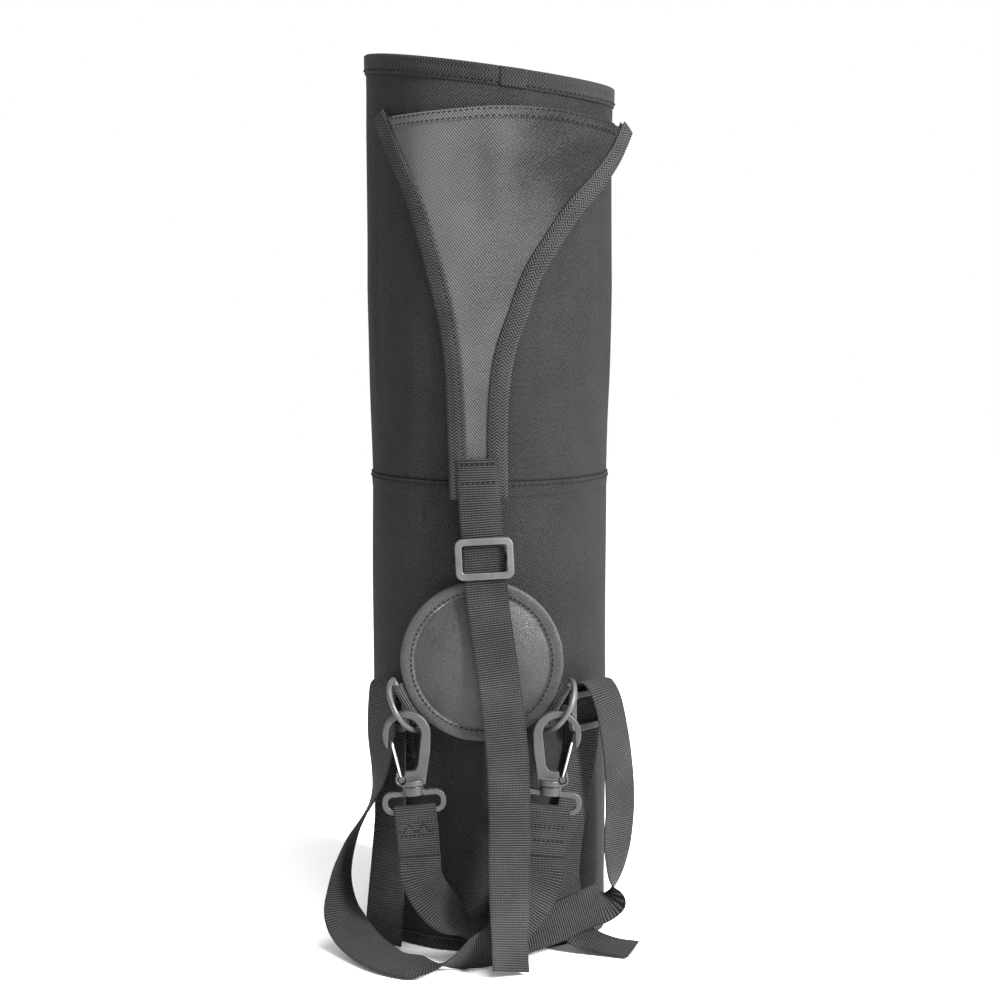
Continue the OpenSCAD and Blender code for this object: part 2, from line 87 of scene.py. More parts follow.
# ---- mesh helpers
def mesh_piece(name, verts, faces, uvs=None, smooth=True):
    """A mesh object from vertices in metres; uvs gives one (u, v) per vertex, in metres."""
    mesh = bpy.data.meshes.new(name)
    mesh.from_pydata([tuple(v) for v in verts], [], faces)
    if uvs is not None:
        layer = mesh.uv_layers.new(name="UVMap")
        for poly in mesh.polygons:
            for li in poly.loop_indices:
                layer.data[li].uv = uvs[mesh.loops[li].vertex_index]
    mesh.polygons.foreach_set("use_smooth", [smooth] * len(mesh.polygons))
    mesh.update()
    piece = bpy.data.objects.new(name, mesh)
    scene.collection.objects.link(piece)
    return piece


def grid_faces(rows, cols, closed_u=False, closed_v=False, base=0):
    """Quads over a grid whose rows are listed one after another."""
    faces = []
    for i in range(rows if closed_v else rows - 1):
        for j in range(cols if closed_u else cols - 1):
            a = base + i * cols + j
            b = base + i * cols + (j + 1) % cols
            c = base + ((i + 1) % rows) * cols + (j + 1) % cols
            d = base + ((i + 1) % rows) * cols + j
            faces.append((a, b, c, d))
    return faces


def apply_modifiers(piece):
    deps = bpy.context.evaluated_depsgraph_get()
    deps.update()
    mesh = bpy.data.meshes.new_from_object(piece.evaluated_get(deps))
    piece.modifiers.clear()
    old = piece.data
    piece.data = mesh
    bpy.data.meshes.remove(old)


def lerp(a, b, t):
    return a + (b - a) * t


def ease(t):
    t = min(max(t, 0.0), 1.0)
    return t * t * (3 - 2 * t)


def running_length(points, start=0.0):
    """The distance along a line of points, at each point."""
    out = [start]
    for a, b in zip(points, points[1:]):
        out.append(out[-1] + (Vector(b) - Vector(a)).length)
    return out


def catmull(points, s):
    n = len(points)
    i = min(int(s), n - 2)
    t = s - i

    def at(k):
        if k < 0:
            return [2 * a - b for a, b in zip(points[0], points[1])]
        if k >= n:
            return [2 * a - b for a, b in zip(points[-1], points[-2])]
        return points[k]

    a, b, c, d = at(i - 1), at(i), at(i + 1), at(i + 2)
    return [
        0.5 * (2 * q + (r - p) * t + (2 * p - 5 * q + 4 * r - e) * t * t + (3 * q - p - 3 * r + e) * t ** 3)
        for p, q, r, e in zip(a, b, c, d)
    ]


def set_material(piece, material):
    piece.data.materials.clear()
    piece.data.materials.append(material)


def dress(piece, material, body, *nodes):
    """Gives a piece its material and the body it rides on; it stands for the CAD nodes that are named."""
    set_material(piece, material)
    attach(piece, body)
    if nodes:
        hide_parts(*nodes)
    return piece


# ---- node materials
def new_material(name):
    """The material, its Net, and put(input, x), which links or sets an input of its shader."""
    mat = bpy.data.materials.new(name)
    mat.use_nodes = True
    net, shader = Net(mat.node_tree), mat.node_tree.nodes["Principled BSDF"]
    return mat, net, lambda name, x: net.value(shader.inputs[name], x)


class Net:
    """Short names for the nodes that the materials are built from."""

    def __init__(self, tree):
        self.new = tree.nodes.new
        self.link = tree.links.new

    def value(self, socket, x):
        if isinstance(x, (int, float, tuple)):
            socket.default_value = x
        else:
            self.link(x, socket)

    def math(self, op, a, b=None, c=None):
        node = self.new("ShaderNodeMath")
        node.operation = op
        for socket, x in zip(node.inputs, (a, b, c)):
            if x is not None:
                self.value(socket, x)
        return node.outputs[0]

    def add(self, a, b):
        return self.math("ADD", a, b)

    def times(self, a, b):
        return self.math("MULTIPLY", a, b)

    def around_zero(self, x, size):
        """A 0 to 1 value moved to swing about zero, times size."""
        return self.times(self.math("SUBTRACT", x, 0.5), size)

    def fuzz(self, u, v, columns, rows):
        """Fine fibre noise in the cloth's own directions."""
        return self.noise(self.combine(self.times(u, columns), self.times(v, rows)), 1.0, 2, 0.7)

    def uv(self):
        node = self.new("ShaderNodeSeparateXYZ")
        self.link(self.new("ShaderNodeUVMap").outputs[0], node.inputs[0])
        return node.outputs[0], node.outputs[1]

    def position(self):
        return self.new("ShaderNodeTexCoord").outputs["Object"]

    def noise(self, vector, scale, detail=3.0, rough=0.55):
        node = self.new("ShaderNodeTexNoise")
        self.value(node.inputs["Vector"], vector)
        node.inputs["Scale"].default_value = scale
        node.inputs["Detail"].default_value = detail
        node.inputs["Roughness"].default_value = rough
        return node.outputs[0]

    def combine(self, x, y, z=0.0):
        node = self.new("ShaderNodeCombineXYZ")
        for socket, v in zip(node.inputs, (x, y, z)):
            self.value(socket, v)
        return node.outputs[0]

    def remap(self, x, a, b, c, d):
        node = self.new("ShaderNodeMapRange")
        node.clamp = True
        for socket, v in zip(node.inputs, (x, a, b, c, d)):
            self.value(socket, v)
        return node.outputs[0]

    def mix(self, fac, a, b):
        node = self.new("ShaderNodeMix")
        node.data_type = "RGBA"
        self.value(node.inputs[0], fac)
        self.value(node.inputs[6], a)
        self.value(node.inputs[7], b)
        return node.outputs[2]

    def bump(self, height, distance, strength=1.0, normal=None):
        node = self.new("ShaderNodeBump")
        node.inputs["Strength"].default_value = strength
        node.inputs["Distance"].default_value = distance
        self.value(node.inputs["Height"], height)
        if normal is not None:
            self.link(normal, node.inputs["Normal"])
        return node.outputs[0]


def wave(net, x, pitch, phase=0.0):
    """0 to 1 ridges along x, pitch in metres."""
    turn = net.math("MULTIPLY_ADD", x, 2 * pi / pitch, phase)
    return net.math("MULTIPLY_ADD", net.math("SINE", turn), 0.5, 0.5)


def grey(v, warm=0.02):
    return (v * (1 + warm * 0.5), v, v * (1 - warm), 1)


def twill_material(name, shade, weave=0.0017, mottling=0.5, painted_light_ramp=None):
    """Coated twill: fine diagonal ribs, slubs, cloudy wear and light flecks."""
    mat, net, put = new_material(name)
    u, v = net.uv()
    pos = net.position()
    wobble = net.times(net.noise(pos, 60, 2), 0.0009)
    diag = net.add(net.add(u, net.times(v, 0.8)), wobble)
    ribs = wave(net, diag, weave)
    cross = wave(net, net.math("SUBTRACT", u, v), weave * 1.9)
    thread = net.times(ribs, net.math("MULTIPLY_ADD", cross, 0.45, 0.55))
    fleck = net.fuzz(u, v, 900, 620)
    cloud = net.noise(pos, 9, 4, 0.6)
    stain = net.noise(pos, 34, 3, 0.6)
    light = net.add(net.times(thread, 0.9), net.remap(fleck, 0.3, 0.75, 0.0, 0.9))
    light = net.add(light, net.around_zero(cloud, mottling * 2))
    light = net.add(light, net.around_zero(stain, mottling))
    if painted_light_ramp:
        # painted light and painted shade: paler towards one side and darker towards the other, in soft-edged streaks
        x = net.new("ShaderNodeSeparateXYZ")
        net.link(pos, x.inputs[0])
        drift = net.add(x.outputs[0], net.around_zero(net.noise(pos, 14, 3, 0.6), 0.05))
        light = net.add(light, net.remap(drift, *painted_light_ramp))
    tone = net.mix(net.remap(light, 0.1, 2.0, 0.0, 1.0), grey(shade * 0.25), grey(shade * 2.6))
    put("Base Color", tone)
    put("Roughness", net.remap(cloud, 0.3, 0.7, 0.62, 0.76))
    put("Specular IOR Level", 0.09)
    fine = net.bump(thread, 0.0005, 1.0)
    soft = net.bump(net.noise(pos, 55, 3, 0.6), 0.0012, 0.35, fine)
    put("Normal", soft)
    return mat


def webbing_material(name, shade, width=0.025):
    """Ribbed webbing: rows across, columns along, a smooth selvedge and high spots of wear; the rib tops carry
    painted highlights and the hollows painted shade.
    """
    mat, net, put = new_material(name)
    u, v = net.uv()
    pos = net.position()
    column = wave(net, u, width / 13)
    shift = net.around_zero(column, 0.00022)
    row = wave(net, net.add(v, shift), 0.0014)
    thread = net.times(net.math("MULTIPLY_ADD", column, 0.35, 0.65), net.math("POWER", row, 1.8))
    edge = net.math("ABSOLUTE", net.math("SUBTRACT", u, width / 2))
    selvedge = net.remap(edge, width * 0.44, width * 0.47, 0.0, 1.0)
    thread = net.times(thread, net.math("SUBTRACT", 1.0, net.times(selvedge, 0.35)))
    cloud = net.noise(pos, 26, 3, 0.6)
    fuzz = net.fuzz(u, v, 1400, 800)
    light = net.add(net.times(thread, 0.9), net.around_zero(cloud, 0.8))
    light = net.add(light, net.around_zero(fuzz, 0.6))
    # the ribs are the weave; their tops are coloured far paler than the hollows, as painted highlight and painted
    # shade
    tone = net.mix(net.remap(light, 0.05, 1.0, 0.0, 1.0), grey(shade * 0.05, 0.05), grey(shade * 4.0, 0.05))
    put("Base Color", tone)
    put("Roughness", 0.72)
    put("Sheen Weight", 0.02)
    put("Specular IOR Level", 0.2)
    put("Normal", net.bump(thread, 0.0009, 1.0))
    return mat


def herringbone_material(name, shade, width=0.011, columns=2.0):
    """Binding tape: chevrons across the tape's width."""
    mat, net, put = new_material(name)
    u, v = net.uv()
    pos = net.position()
    fold = net.math("PINGPONG", u, width / (2 * columns))
    slant = net.add(v, net.times(fold, 0.9))
    stripe = wave(net, slant, 0.0019)
    ridge = net.math("POWER", stripe, 1.4)
    fuzz = net.fuzz(u, v, 1300, 900)
    cloud = net.noise(pos, 40, 3)
    light = net.add(ridge, net.around_zero(fuzz, 0.7))
    light = net.add(light, net.around_zero(cloud, 0.6))
    tone = net.mix(net.remap(light, 0.0, 1.15, 0.0, 1.0), grey(shade * 0.12), grey(shade * 2.8))
    put("Base Color", tone)
    put("Roughness", 0.78)
    put("Sheen Weight", 0.02)
    put("Specular IOR Level", 0.15)
    put("Normal", net.bump(ridge, 0.0005, 1.0))
    return mat


def leather_material(name, shade, rough):
    """Fine-grained leather with creases, scuffed high spots and uneven gloss."""
    mat, net, put = new_material(name)
    pos = net.position()
    cell = net.new("ShaderNodeTexVoronoi")
    cell.feature = "DISTANCE_TO_EDGE"
    cell.inputs["Scale"].default_value = 900
    warp = net.new("ShaderNodeVectorMath")
    warp.operation = "ADD"
    net.link(pos, warp.inputs[0])
    drift = net.new("ShaderNodeTexNoise")
    drift.inputs["Scale"].default_value = 240
    net.link(pos, drift.inputs["Vector"])
    scale = net.new("ShaderNodeVectorMath")
    scale.operation = "SCALE"
    net.link(drift.outputs["Color"], scale.inputs[0])
    scale.inputs["Scale"].default_value = 0.0012
    net.link(scale.outputs[0], warp.inputs[1])
    net.link(warp.outputs[0], cell.inputs["Vector"])
    grain = net.remap(cell.outputs["Distance"], 0.0, 0.25, 0.0, 1.0)
    cloud = net.noise(pos, 24, 4, 0.6)
    scuff = net.noise(pos, 110, 3, 0.7)
    light = net.add(net.times(grain, 0.5), net.times(cloud, 0.6))
    light = net.add(light, net.around_zero(scuff, 0.5))
    tone = net.mix(net.remap(light, 0.2, 1.2, 0.0, 1.0), grey(shade * 0.35), grey(shade * 1.75))
    put("Base Color", tone)
    put("Roughness", net.remap(cloud, 0.3, 0.7, rough - 0.14, rough + 0.14))
    fine = net.bump(grain, 0.00014, 0.6)
    soft = net.bump(net.noise(pos, 70, 3, 0.6), 0.0008, 0.35, fine)
    put("Specular IOR Level", 0.35)
    put("Normal", soft)
    return mat


def plastic_material(name, shade, rough, speck=0.3):
    """Moulded plastic: faint flow marks, fine texture and painted highlights on its edges."""
    mat, net, put = new_material(name)
    pos = net.position()
    cloud = net.noise(pos, 60, 3, 0.6)
    fine = net.noise(pos, 900, 2, 0.6)
    geometry = net.new("ShaderNodeNewGeometry")
    # painted highlight: sharp convex edges, found by their pointiness, are coloured paler
    edge_highlight = net.remap(geometry.outputs["Pointiness"], 0.52, 0.6, 0.0, 0.55)
    tone = net.mix(net.remap(cloud, 0.3, 0.7, 0.0, 1.0), grey(shade * (1 - speck)), grey(shade * (1 + speck)))
    tone = net.mix(edge_highlight, tone, grey(min(shade * 2.2, 0.6)))
    put("Base Color", tone)
    put("Roughness", net.remap(cloud, 0.3, 0.7, rough - 0.06, rough + 0.1))
    put("Normal", net.bump(fine, 0.00008, 0.5))
    return mat


def steel_material(name, shade, rough=0.22):
    """Drawn steel wire: streaks along the wire and small dull spots."""
    mat, net, put = new_material(name)
    pos = net.position()
    mapped = net.new("ShaderNodeMapping")
    mapped.inputs["Scale"].default_value = (900, 900, 60)
    net.link(pos, mapped.inputs["Vector"])
    streak = net.noise(mapped.outputs[0], 1.0, 3, 0.6)
    tone = net.mix(net.remap(streak, 0.3, 0.7, 0.0, 1.0), grey(shade * 0.75, 0), grey(shade, 0))
    put("Base Color", tone)
    put("Metallic", 1.0)
    put("Roughness", net.remap(streak, 0.3, 0.7, rough, rough + 0.15))
    return mat


def thread_material(name, shade):
    """Stitching thread: a twisted ply along each stitch."""
    mat, net, put = new_material(name)
    pos = net.position()
    ply = net.noise(pos, 2600, 1, 0.5)
    tone = net.mix(ply, grey(shade * 0.6), grey(shade * 1.5))
    put("Base Color", tone)
    put("Roughness", 0.8)
    put("Specular IOR Level", 0.1)
    put("Normal", net.bump(ply, 0.00012, 0.7))
    return mat


def floor_material():
    mat, net, put = new_material("studio_floor")
    pos = net.position()
    cloud = net.noise(pos, 2.0, 3)
    tone = net.mix(cloud, (0.86, 0.86, 0.86, 1), (0.88, 0.88, 0.88, 1))
    put("Base Color", tone)
    put("Roughness", 0.9)
    put("Specular IOR Level", 0.1)
    return mat


TUBE_CLOTH = twill_material("tube_cloth", 0.0135)
# the panel's cloth gets painted light on its left and painted shade on its right
PANEL_CLOTH = twill_material("panel_cloth", 0.024, mottling=0.9, painted_light_ramp=(-0.05, 0.045, 1.8, -0.45))
LINING = twill_material("lining_cloth", 0.02, weave=0.0012)
WEBBING = webbing_material("webbing", 0.0145)
TAPE = herringbone_material("binding_tape", 0.015)
RIM_TAPE = herringbone_material("mouth_tape", 0.010)
RING_TAPE = webbing_material("ring_tape", 0.024)
LEATHER = leather_material("leather", 0.021, 0.46)
GLIDE = plastic_material("adjuster_plastic", 0.042, 0.4)
HOOK = plastic_material("hook_plastic", 0.022, 0.35)
RING = plastic_material("ring_coat", 0.04, 0.34)
STEEL = steel_material("gate_steel", 0.6)
THREAD = thread_material("thread", 0.004)
HIDDEN = plastic_material("board_and_foam", 0.1, 0.8)


# ---- stitching
def stitch_row(name, points, normals, body, pitch=0.0034, length=0.0024, radius=0.00032):
    """Short thread stitches at even spacing along a line that lies on a surface."""
    spans = running_length(points)
    total = spans[-1]
    count = max(int(total / pitch), 1)
    verts, faces = [], []
    k = 0

    def along(d):
        nonlocal k
        while k < len(spans) - 2 and spans[k + 1] < d:
            k += 1
        while k > 0 and spans[k] > d:
            k -= 1
        t = (d - spans[k]) / max(spans[k + 1] - spans[k], 1e-9)
        return points[k].lerp(points[k + 1], t), normals[k].lerp(normals[k + 1], t).normalized()

    profile = [(-0.5, 0.15, -1.0), (-0.4, 0.75, -0.25), (-0.2, 1.0, 0.35)]
    profile += [(-f, r, lift) for f, r, lift in reversed(profile)]
    for i in range(count):
        mid = (i + 0.5) * total / count
        rings = []
        p0, n0 = along(mid)
        p1, _ = along(max(mid - length / 2, 0))
        p2, _ = along(min(mid + length / 2, total))
        t = (p2 - p1).normalized()
        side = t.cross(n0).normalized()
        for f, r, lift in profile:
            centre = p0 + t * (f * length) + n0 * (radius * lift)
            ring = []
            for q in range(6):
                a = 2 * pi * q / 6
                ring.append(centre + (side * cos(a) + n0 * sin(a)) * (radius * r))
            rings.append(ring)
        base = len(verts)
        for ring in rings:
            verts.extend(ring)
        faces.extend(grid_faces(len(rings), 6, closed_u=True, base=base))
        faces.append(tuple(base + q for q in reversed(range(6))))
        faces.append(tuple(base + (len(rings) - 1) * 6 + q for q in range(6)))
    dress(mesh_piece(name, verts, faces), THREAD, body)


# ---- design sizes, in metres
TUBE_R, MOUTH_R = 0.073, 0.0755
SEAM_Z, FLARE_Z, TOP_Z = 0.286, 0.400, 0.5295
SLANT = tan(radians(7.6))
ARC_X, ARC_Y, PANEL_R = 0.0086, 0.0112, 0.0917
PANEL_LOW, PANEL_HIGH = 276.6, 500.0  # in millimetres, as the edges are
HUB = Vector((-0.0042, -0.0769, 0.1798))
WEB, WEB_T = 0.025, 0.0015
SIDES = ((-1, "left"), (1, "right"))

LEFT_EDGE = [(-68, 500), (-61, 481.5), (-52.5, 461), (-45, 440.5), (-37.5, 414), (-31, 388), (-26.5, 358.5),
             (-24.5, 323.5), (-23.5, 300), (-23, 276)]
RIGHT_EDGE = [(85, 492), (77.5, 476), (65.5, 458), (53.5, 443.5), (42, 426), (30, 405.5), (21.5, 382),
              (15.5, 364.5), (12, 344), (10.5, 317.5), (11, 277.5)]
TOP_EDGE = [(-68, 500), (-54, 501.5), (-34, 503.5), (0, 506), (20, 506), (41, 504.5), (62, 500.5), (70, 498.5),
            (85, 492)]

# Points of a strap, in millimetres, each with the direction across it
FACE_LEFT, FACE_RIGHT = (-0.676, 0.737, 0), (0.676, 0.737, 0)
CENTER_ROUTE = [
    (-7, -82.3, 301, 1, 0, 0.05), (-6.3, -82.3, 288, 1, 0, 0.05), (-5.6, -82.3, 276, 1, 0, 0.05),
    (-4.4, -82.9, 260, 1, 0, 0.06), (-2.8, -83.7, 240, 1, 0, 0.08), (-1, -84.8, 219, 1, 0, 0.08),
    (1.5, -87.2, 200, 1, 0, 0.08), (4.6, -89.4, 180, 1, 0, 0.08), (8, -91, 155, 1, 0, 0.08),
    (11.2, -94, 120, 1, 0, 0.04), (12.2, -99, 85, 1, 0.1, 0), (12, -107, 50, 1, 0.3, 0),
    (12.3, -117, 20, 0.85, 0.55, 0), (13, -124, 4.2, 0.8, 0.58, 0.03)]
LEFT_ROUTE = [
    (-41.5, -89.4, 64.9, 0.97, 0, 0.087), (-40.2, -88.9, 51, 0.96, 0.03, 0.16),
    (-34, -87.5, 38, 0.9, 0.12, 0.38), (-24, -87.5, 27, 0.65, 0.6, 0.45), (-13, -88.5, 19.5, 0.1, 1, 0.15),
    (-1, -89, 16, -0.1, 0.75, 0.65), (13, -88, 15.5, -0.05, 0.3, 0.95), (30, -84.5, 18, 0, 0, 1),
    (46, -78.5, 22.5, -0.1, 0, 1), (60, -71.5, 27, 0, 0.05, 1), (69, -66, 29.5, 0.05, 0.4, 0.92),
    (74.5, -60.5, 35, 0.15, 0.92, 0.35), (77, -58, 47, 0.45, 0.88, 0.1), (78.2, -57.2, 65, 0.68, 0.72, 0),
    (79.5, -57.5, 88, 0.72, 0.7, 0), (77.9, -60.9, 116.2, 0.69, 0.73, 0), (74.3, -64.1, 140.4, 0.66, 0.75, 0),
    (70.8, -64.4, 155, *FACE_RIGHT), (66.5, -61, 163, *FACE_RIGHT), (62.2, -57, 164, *FACE_RIGHT),
    (58.7, -53.7, 161.3, *FACE_RIGHT), (58.4, -53.5, 154, *FACE_RIGHT),
    (58.4, -53.5, 145, *FACE_RIGHT), (58.4, -53.5, 137, *FACE_RIGHT),
    (58.2, -53.8, 126.4, 0.67, 0.74, 0), (55, -57, 109.2, 0.7, 0.7, 0), (50.5, -61, 88, 0.73, 0.68, 0),
    (46.5, -65, 62, 0.75, 0.66, 0), (45.5, -67, 42, 0.75, 0.66, 0), (49.5, -67.5, 22, 0.75, 0.62, 0.1),
    (57, -67.5, 9, 0.6, 0.75, 0.1), (73, -71.5, 3.6, 0.32, 0.93, 0.1), (87, -76.5, 3, 0.25, 0.96, 0.1)]
RIGHT_ROUTE = [
    (33.1, -89.4, 64.9, 0.97, 0, -0.087), (31.8, -89.4, 51, 0.96, 0, -0.22), (25, -92, 36, 0.84, 0, -0.54),
    (14, -97, 23, 0.6, 0.05, -0.8), (3, -104, 15, 0.4, 0.2, -0.9), (-9, -111, 11.8, 0.15, 0.5, -0.85),
    (-24, -117, 7.2, 0.05, 0.9, -0.4), (-42, -117, 5, 0.1, 0.97, 0.2), (-60, -105, 5, 0.4, 0.88, 0.2),
    (-75.5, -85, 8.5, 0.6, 0.72, 0.35), (-86, -69, 16, 0.62, 0.6, 0.5), (-90.5, -61, 28, 0.55, 0.75, 0.35),
    (-90, -57, 46, 0.43, 0.9, 0.1), (-83, -55, 68, 0.25, 0.97, 0), (-72.5, -57.8, 88.2, 0, 1, 0),
    (-67, -59.9, 108.4, -0.4, 0.9, 0), (-65.4, -60.1, 133, *FACE_LEFT),
    (-64.5, -59.1, 156.5, *FACE_LEFT), (-62.2, -57, 162.6, *FACE_LEFT),
    (-58.8, -53.8, 161.6, *FACE_LEFT), (-58.4, -53.5, 154, *FACE_LEFT),
    (-58.4, -53.5, 145, *FACE_LEFT), (-58.4, -53.5, 137, *FACE_LEFT),
    (-58.7, -53.7, 122.4, -0.65, 0.76, 0), (-59.9, -54.3, 91.2, -0.72, 0.69, 0), (-61.5, -56, 60, -0.8, 0.6, 0),
    (-63, -59.5, 30, -0.88, 0.47, 0), (-65, -62, 1.8, -0.93, 0.37, 0)]


def wall_at(z):
    t = min(max((z - SEAM_Z) / (FLARE_Z - SEAM_Z), 0), 1)
    return TUBE_R + (MOUTH_R - TUBE_R) * t


def rim_at(x):
    return TOP_Z - x * SLANT


def ring_point(angle, radius, z):
    """angle 0 faces the harness side and turns towards +X."""
    return Vector((radius * sin(angle), -radius * cos(angle), z))


def wobble(x, y, z, seed=0.0):
    return noise.noise(Vector((x, y, z)) + Vector((seed, seed * 1.7, seed * 0.3)))


# ---- cloth shells
def shell(name, point, nu, nv, thickness, uv, closed_u=False, flip=False):
    """Cloth of even thickness: point(i, j) gives its outer face, row i of nv + 1 and column j."""
    cols = nu if closed_u else nu + 1
    rows = nv + 1
    outer = [[point(i, j) for j in range(cols)] for i in range(rows)]
    verts, uvs = [], []
    inner = []
    for i in range(rows):
        for j in range(cols):
            up = outer[min(i + 1, rows - 1)][j] - outer[max(i - 1, 0)][j]
            if closed_u:
                side = outer[i][(j + 1) % cols] - outer[i][(j - 1) % cols]
            else:
                side = outer[i][min(j + 1, cols - 1)] - outer[i][max(j - 1, 0)]
            n = side.cross(up).normalized()
            if flip:
                n = -n
            verts.append(outer[i][j])
            inner.append(outer[i][j] - n * thickness)
            uvs.append(uv(i, j))
    count = len(verts)
    faces = grid_faces(rows, cols, closed_u)
    back = [tuple(count + k for k in reversed(f)) for f in faces]
    rim = []
    last = cols if closed_u else cols - 1
    for j in range(last):
        a, b = j, (j + 1) % cols
        rim.append((b, a, count + a, count + b))
        a, b = (rows - 1) * cols + j, (rows - 1) * cols + (j + 1) % cols
        rim.append((a, b, count + b, count + a))
    if not closed_u:
        for i in range(rows - 1):
            a, b = i * cols, (i + 1) * cols
            rim.append((a, b, count + b, count + a))
            a, b = i * cols + cols - 1, (i + 1) * cols + cols - 1
            rim.append((b, a, count + a, count + b))
    if flip:
        faces = [tuple(reversed(f)) for f in faces]
        back = [tuple(reversed(f)) for f in back]
        rim = [tuple(reversed(f)) for f in rim]
    piece = mesh_piece(name, verts + inner, faces + back + rim, uvs + uvs)
    if closed_u:
        wrap_uv(piece)
    mark_sharp_rim(piece, len(faces) + len(back))
    return piece


def wrap_uv(piece, axis=0):
    """Faces that close a ring get a u (or v, axis 1) that runs on instead of back to zero."""
    layer = piece.data.uv_layers[0].data
    full = 2 * pi * TUBE_R
    for poly in piece.data.polygons:
        turns = [layer[li].uv[axis] for li in poly.loop_indices]
        if max(turns) - min(turns) > full / 2:
            for li in poly.loop_indices:
                if layer[li].uv[axis] < full / 2:
                    layer[li].uv[axis] += full


def mark_sharp_rim(piece, first):
    faces = piece.data.polygons
    faces.foreach_set("use_smooth", [k < first for k in range(len(faces))])
    piece.data.update()


def wall_shape(angle, z):
    """Small soft puckers of the tube's cloth, strongest near the seams and the base."""
    x, y = sin(angle), cos(angle)
    soft = 0.0006 * wobble(x * 2.4, y * 2.4, z * 16, 3.0)
    calm = ease((z - 0.30) / 0.05) * ease((0.52 - z) / 0.03) + 0.35 * ease((0.26 - z) / 0.05)
    soft += calm * (0.0007 * wobble(x * 7, y * 7, z * 6, 9.0) + 0.0003 * wobble(x * 22, y * 22, z * 9, 6.0))
    seam = exp(-abs(z - 0.279) / 0.014)
    pucker = 0.00045 * seam * wobble(x * 16, y * 16, z * 12, 8.0)
    foot = exp(-max(z - 0.008, 0) / 0.02)
    crumple = 0.0009 * foot * wobble(x * 11, y * 11, z * 30, 5.0)
    crease = 0.0
    if 0.255 < z < 0.277:
        at = -0.62 + 0.05 * sin((z - 0.255) / 0.022 * pi)
        crease = -0.0009 * exp(-((angle - at) / 0.016) ** 2) * sin((z - 0.255) / 0.022 * pi)
    return soft + pucker + crumple + crease - 0.0002


NU = 300
U = [2 * pi * j / NU for j in range(NU)]


def wall_piece(name, node, low, high, nv):
    """One turn of the tube's cloth from low to high, or to the rim where high is None."""
    def point(i, j):
        a = -pi + U[j]
        x = sin(a)
        top = high or rim_at(MOUTH_R * x) - 0.0004
        z = lerp(low, top, i / nv)
        return ring_point(a, wall_at(z) + wall_shape(a, z), z)

    def uv(i, j):
        return (U[j] * TUBE_R, point(i, j).z)

    piece = shell(name, point, NU, nv, 0.0013, uv, closed_u=True)
    dress(piece, TUBE_CLOTH, "tube", node)
    return piece


lower = wall_piece("lower_wall_cloth", "lower_wall", 0.0016, 0.2858, 110)
upper = wall_piece("upper_wall_cloth", "upper_wall", 0.2860, None, 90)


def band(name, node, low, high, depth, material, nv=10, bulge=0.0003, feather=False):
    """A folded band round the tube, from the height low to high(angle)."""
    def point(i, j):
        a = -pi + U[j]
        t = i / nv
        z = lerp(low, high(a), t)
        edge = t if feather else 0.55 + 0.45 * (1 - abs(2 * t - 1) ** 8)
        lift = depth * edge + (0 if feather else bulge) * wobble(a * 9, t, 2.0)
        return ring_point(a, wall_at(z) + wall_shape(a, z) + lift, z)

    def uv(i, j):
        return (lerp(low, high(-pi + U[j]), i / nv) - low, U[j] * TUBE_R)

    piece = shell(name, point, NU, nv, depth * 1.3, uv, closed_u=True)
    wrap_uv(piece, 1)
    dress(piece, material, "tube", node)


def ring_stitches(name, z, lift, length, pitch):
    angles = [-pi + pi * j / NU for j in range(NU * 2 + 1)]
    pts = [ring_point(a, wall_at(z) + wall_shape(a, z) + lift, z) for a in angles]
    stitch_row(name, pts, [ring_point(a, 1, 0) for a in angles], "tube", length=length, pitch=pitch)


band("mid_seam_fold", "mid_seam", 0.2772, lambda a: 0.2864, 0.0009, TUBE_CLOTH, feather=True)
ring_stitches("mid_seam_stitches", 0.2842, 0.00085, length=0.0026, pitch=0.0037)
band("base_binding_tape", "base_binding", 0.0002, lambda a: 0.0079 + 0.0004 * wobble(a * 5, 1, 0), 0.0014, TAPE, 8,
     bulge=0.0005)
ring_stitches("base_binding_stitches", 0.0062, 0.0016, length=0.0022, pitch=0.0033)


# The mouth's tape goes over the rim: outside, top and inside in one piece
MOUTH_ROWS = 22


def mouth_point(i, j):
    a = -pi + U[j]
    x = MOUTH_R * sin(a)
    t = i / MOUTH_ROWS
    top = rim_at(x)
    out = wall_at(top) + 0.0010 + 0.00025 * wobble(a * 10, t * 2, 4)
    mid, inn = MOUTH_R - 0.0018, MOUTH_R - 0.0045
    if t < 0.45:
        z = lerp(top - 0.0110, top - 0.0002, t / 0.45)
        r = out - 0.0004 * (1 - t / 0.45) ** 6
    elif t < 0.62:
        k = (t - 0.45) / 0.17 * pi
        r = mid + (out - mid) * cos(k)
        z = top - 0.0002 + 0.0011 * sin(k)
    else:
        z = lerp(top - 0.0002, top - 0.0108, (t - 0.62) / 0.38)
        r = inn - 0.0002
    return ring_point(a, r, z)


mouth = shell("mouth_binding_tape", mouth_point, NU, MOUTH_ROWS, 0.0008,
              lambda i, j: (i / MOUTH_ROWS * 0.025, U[j] * TUBE_R), closed_u=True)
dress(mouth, RIM_TAPE, "tube", "mouth_binding")
angles = [-pi + pi * k / 600 for k in range(1201)]
stitch_row("mouth_stitches", [ring_point(a, MOUTH_R + 0.0011, rim_at(MOUTH_R * sin(a)) - 0.0088) for a in angles],
           [ring_point(a, 1, 0) for a in angles], "tube", length=0.0025, pitch=0.0036)


def lap_point(i, j):
    x = lerp(0.0060, 0.0215, j / 12)
    a = asin(x / MOUTH_R)
    t = i / 12
    edge = min(j, 12 - j) / 2
    top = rim_at(x)
    return ring_point(a, MOUTH_R + 0.0012 + 0.0006 * min(edge, 1), lerp(top - 0.0106, top + 0.0006, t))


lap = shell("mouth_binding_lap_tape", lap_point, 12, 12, 0.0007, lambda i, j: (i / 12 * 0.011, j / 12 * 0.0155))
dress(lap, RIM_TAPE, "tube", "mouth_binding_lap")


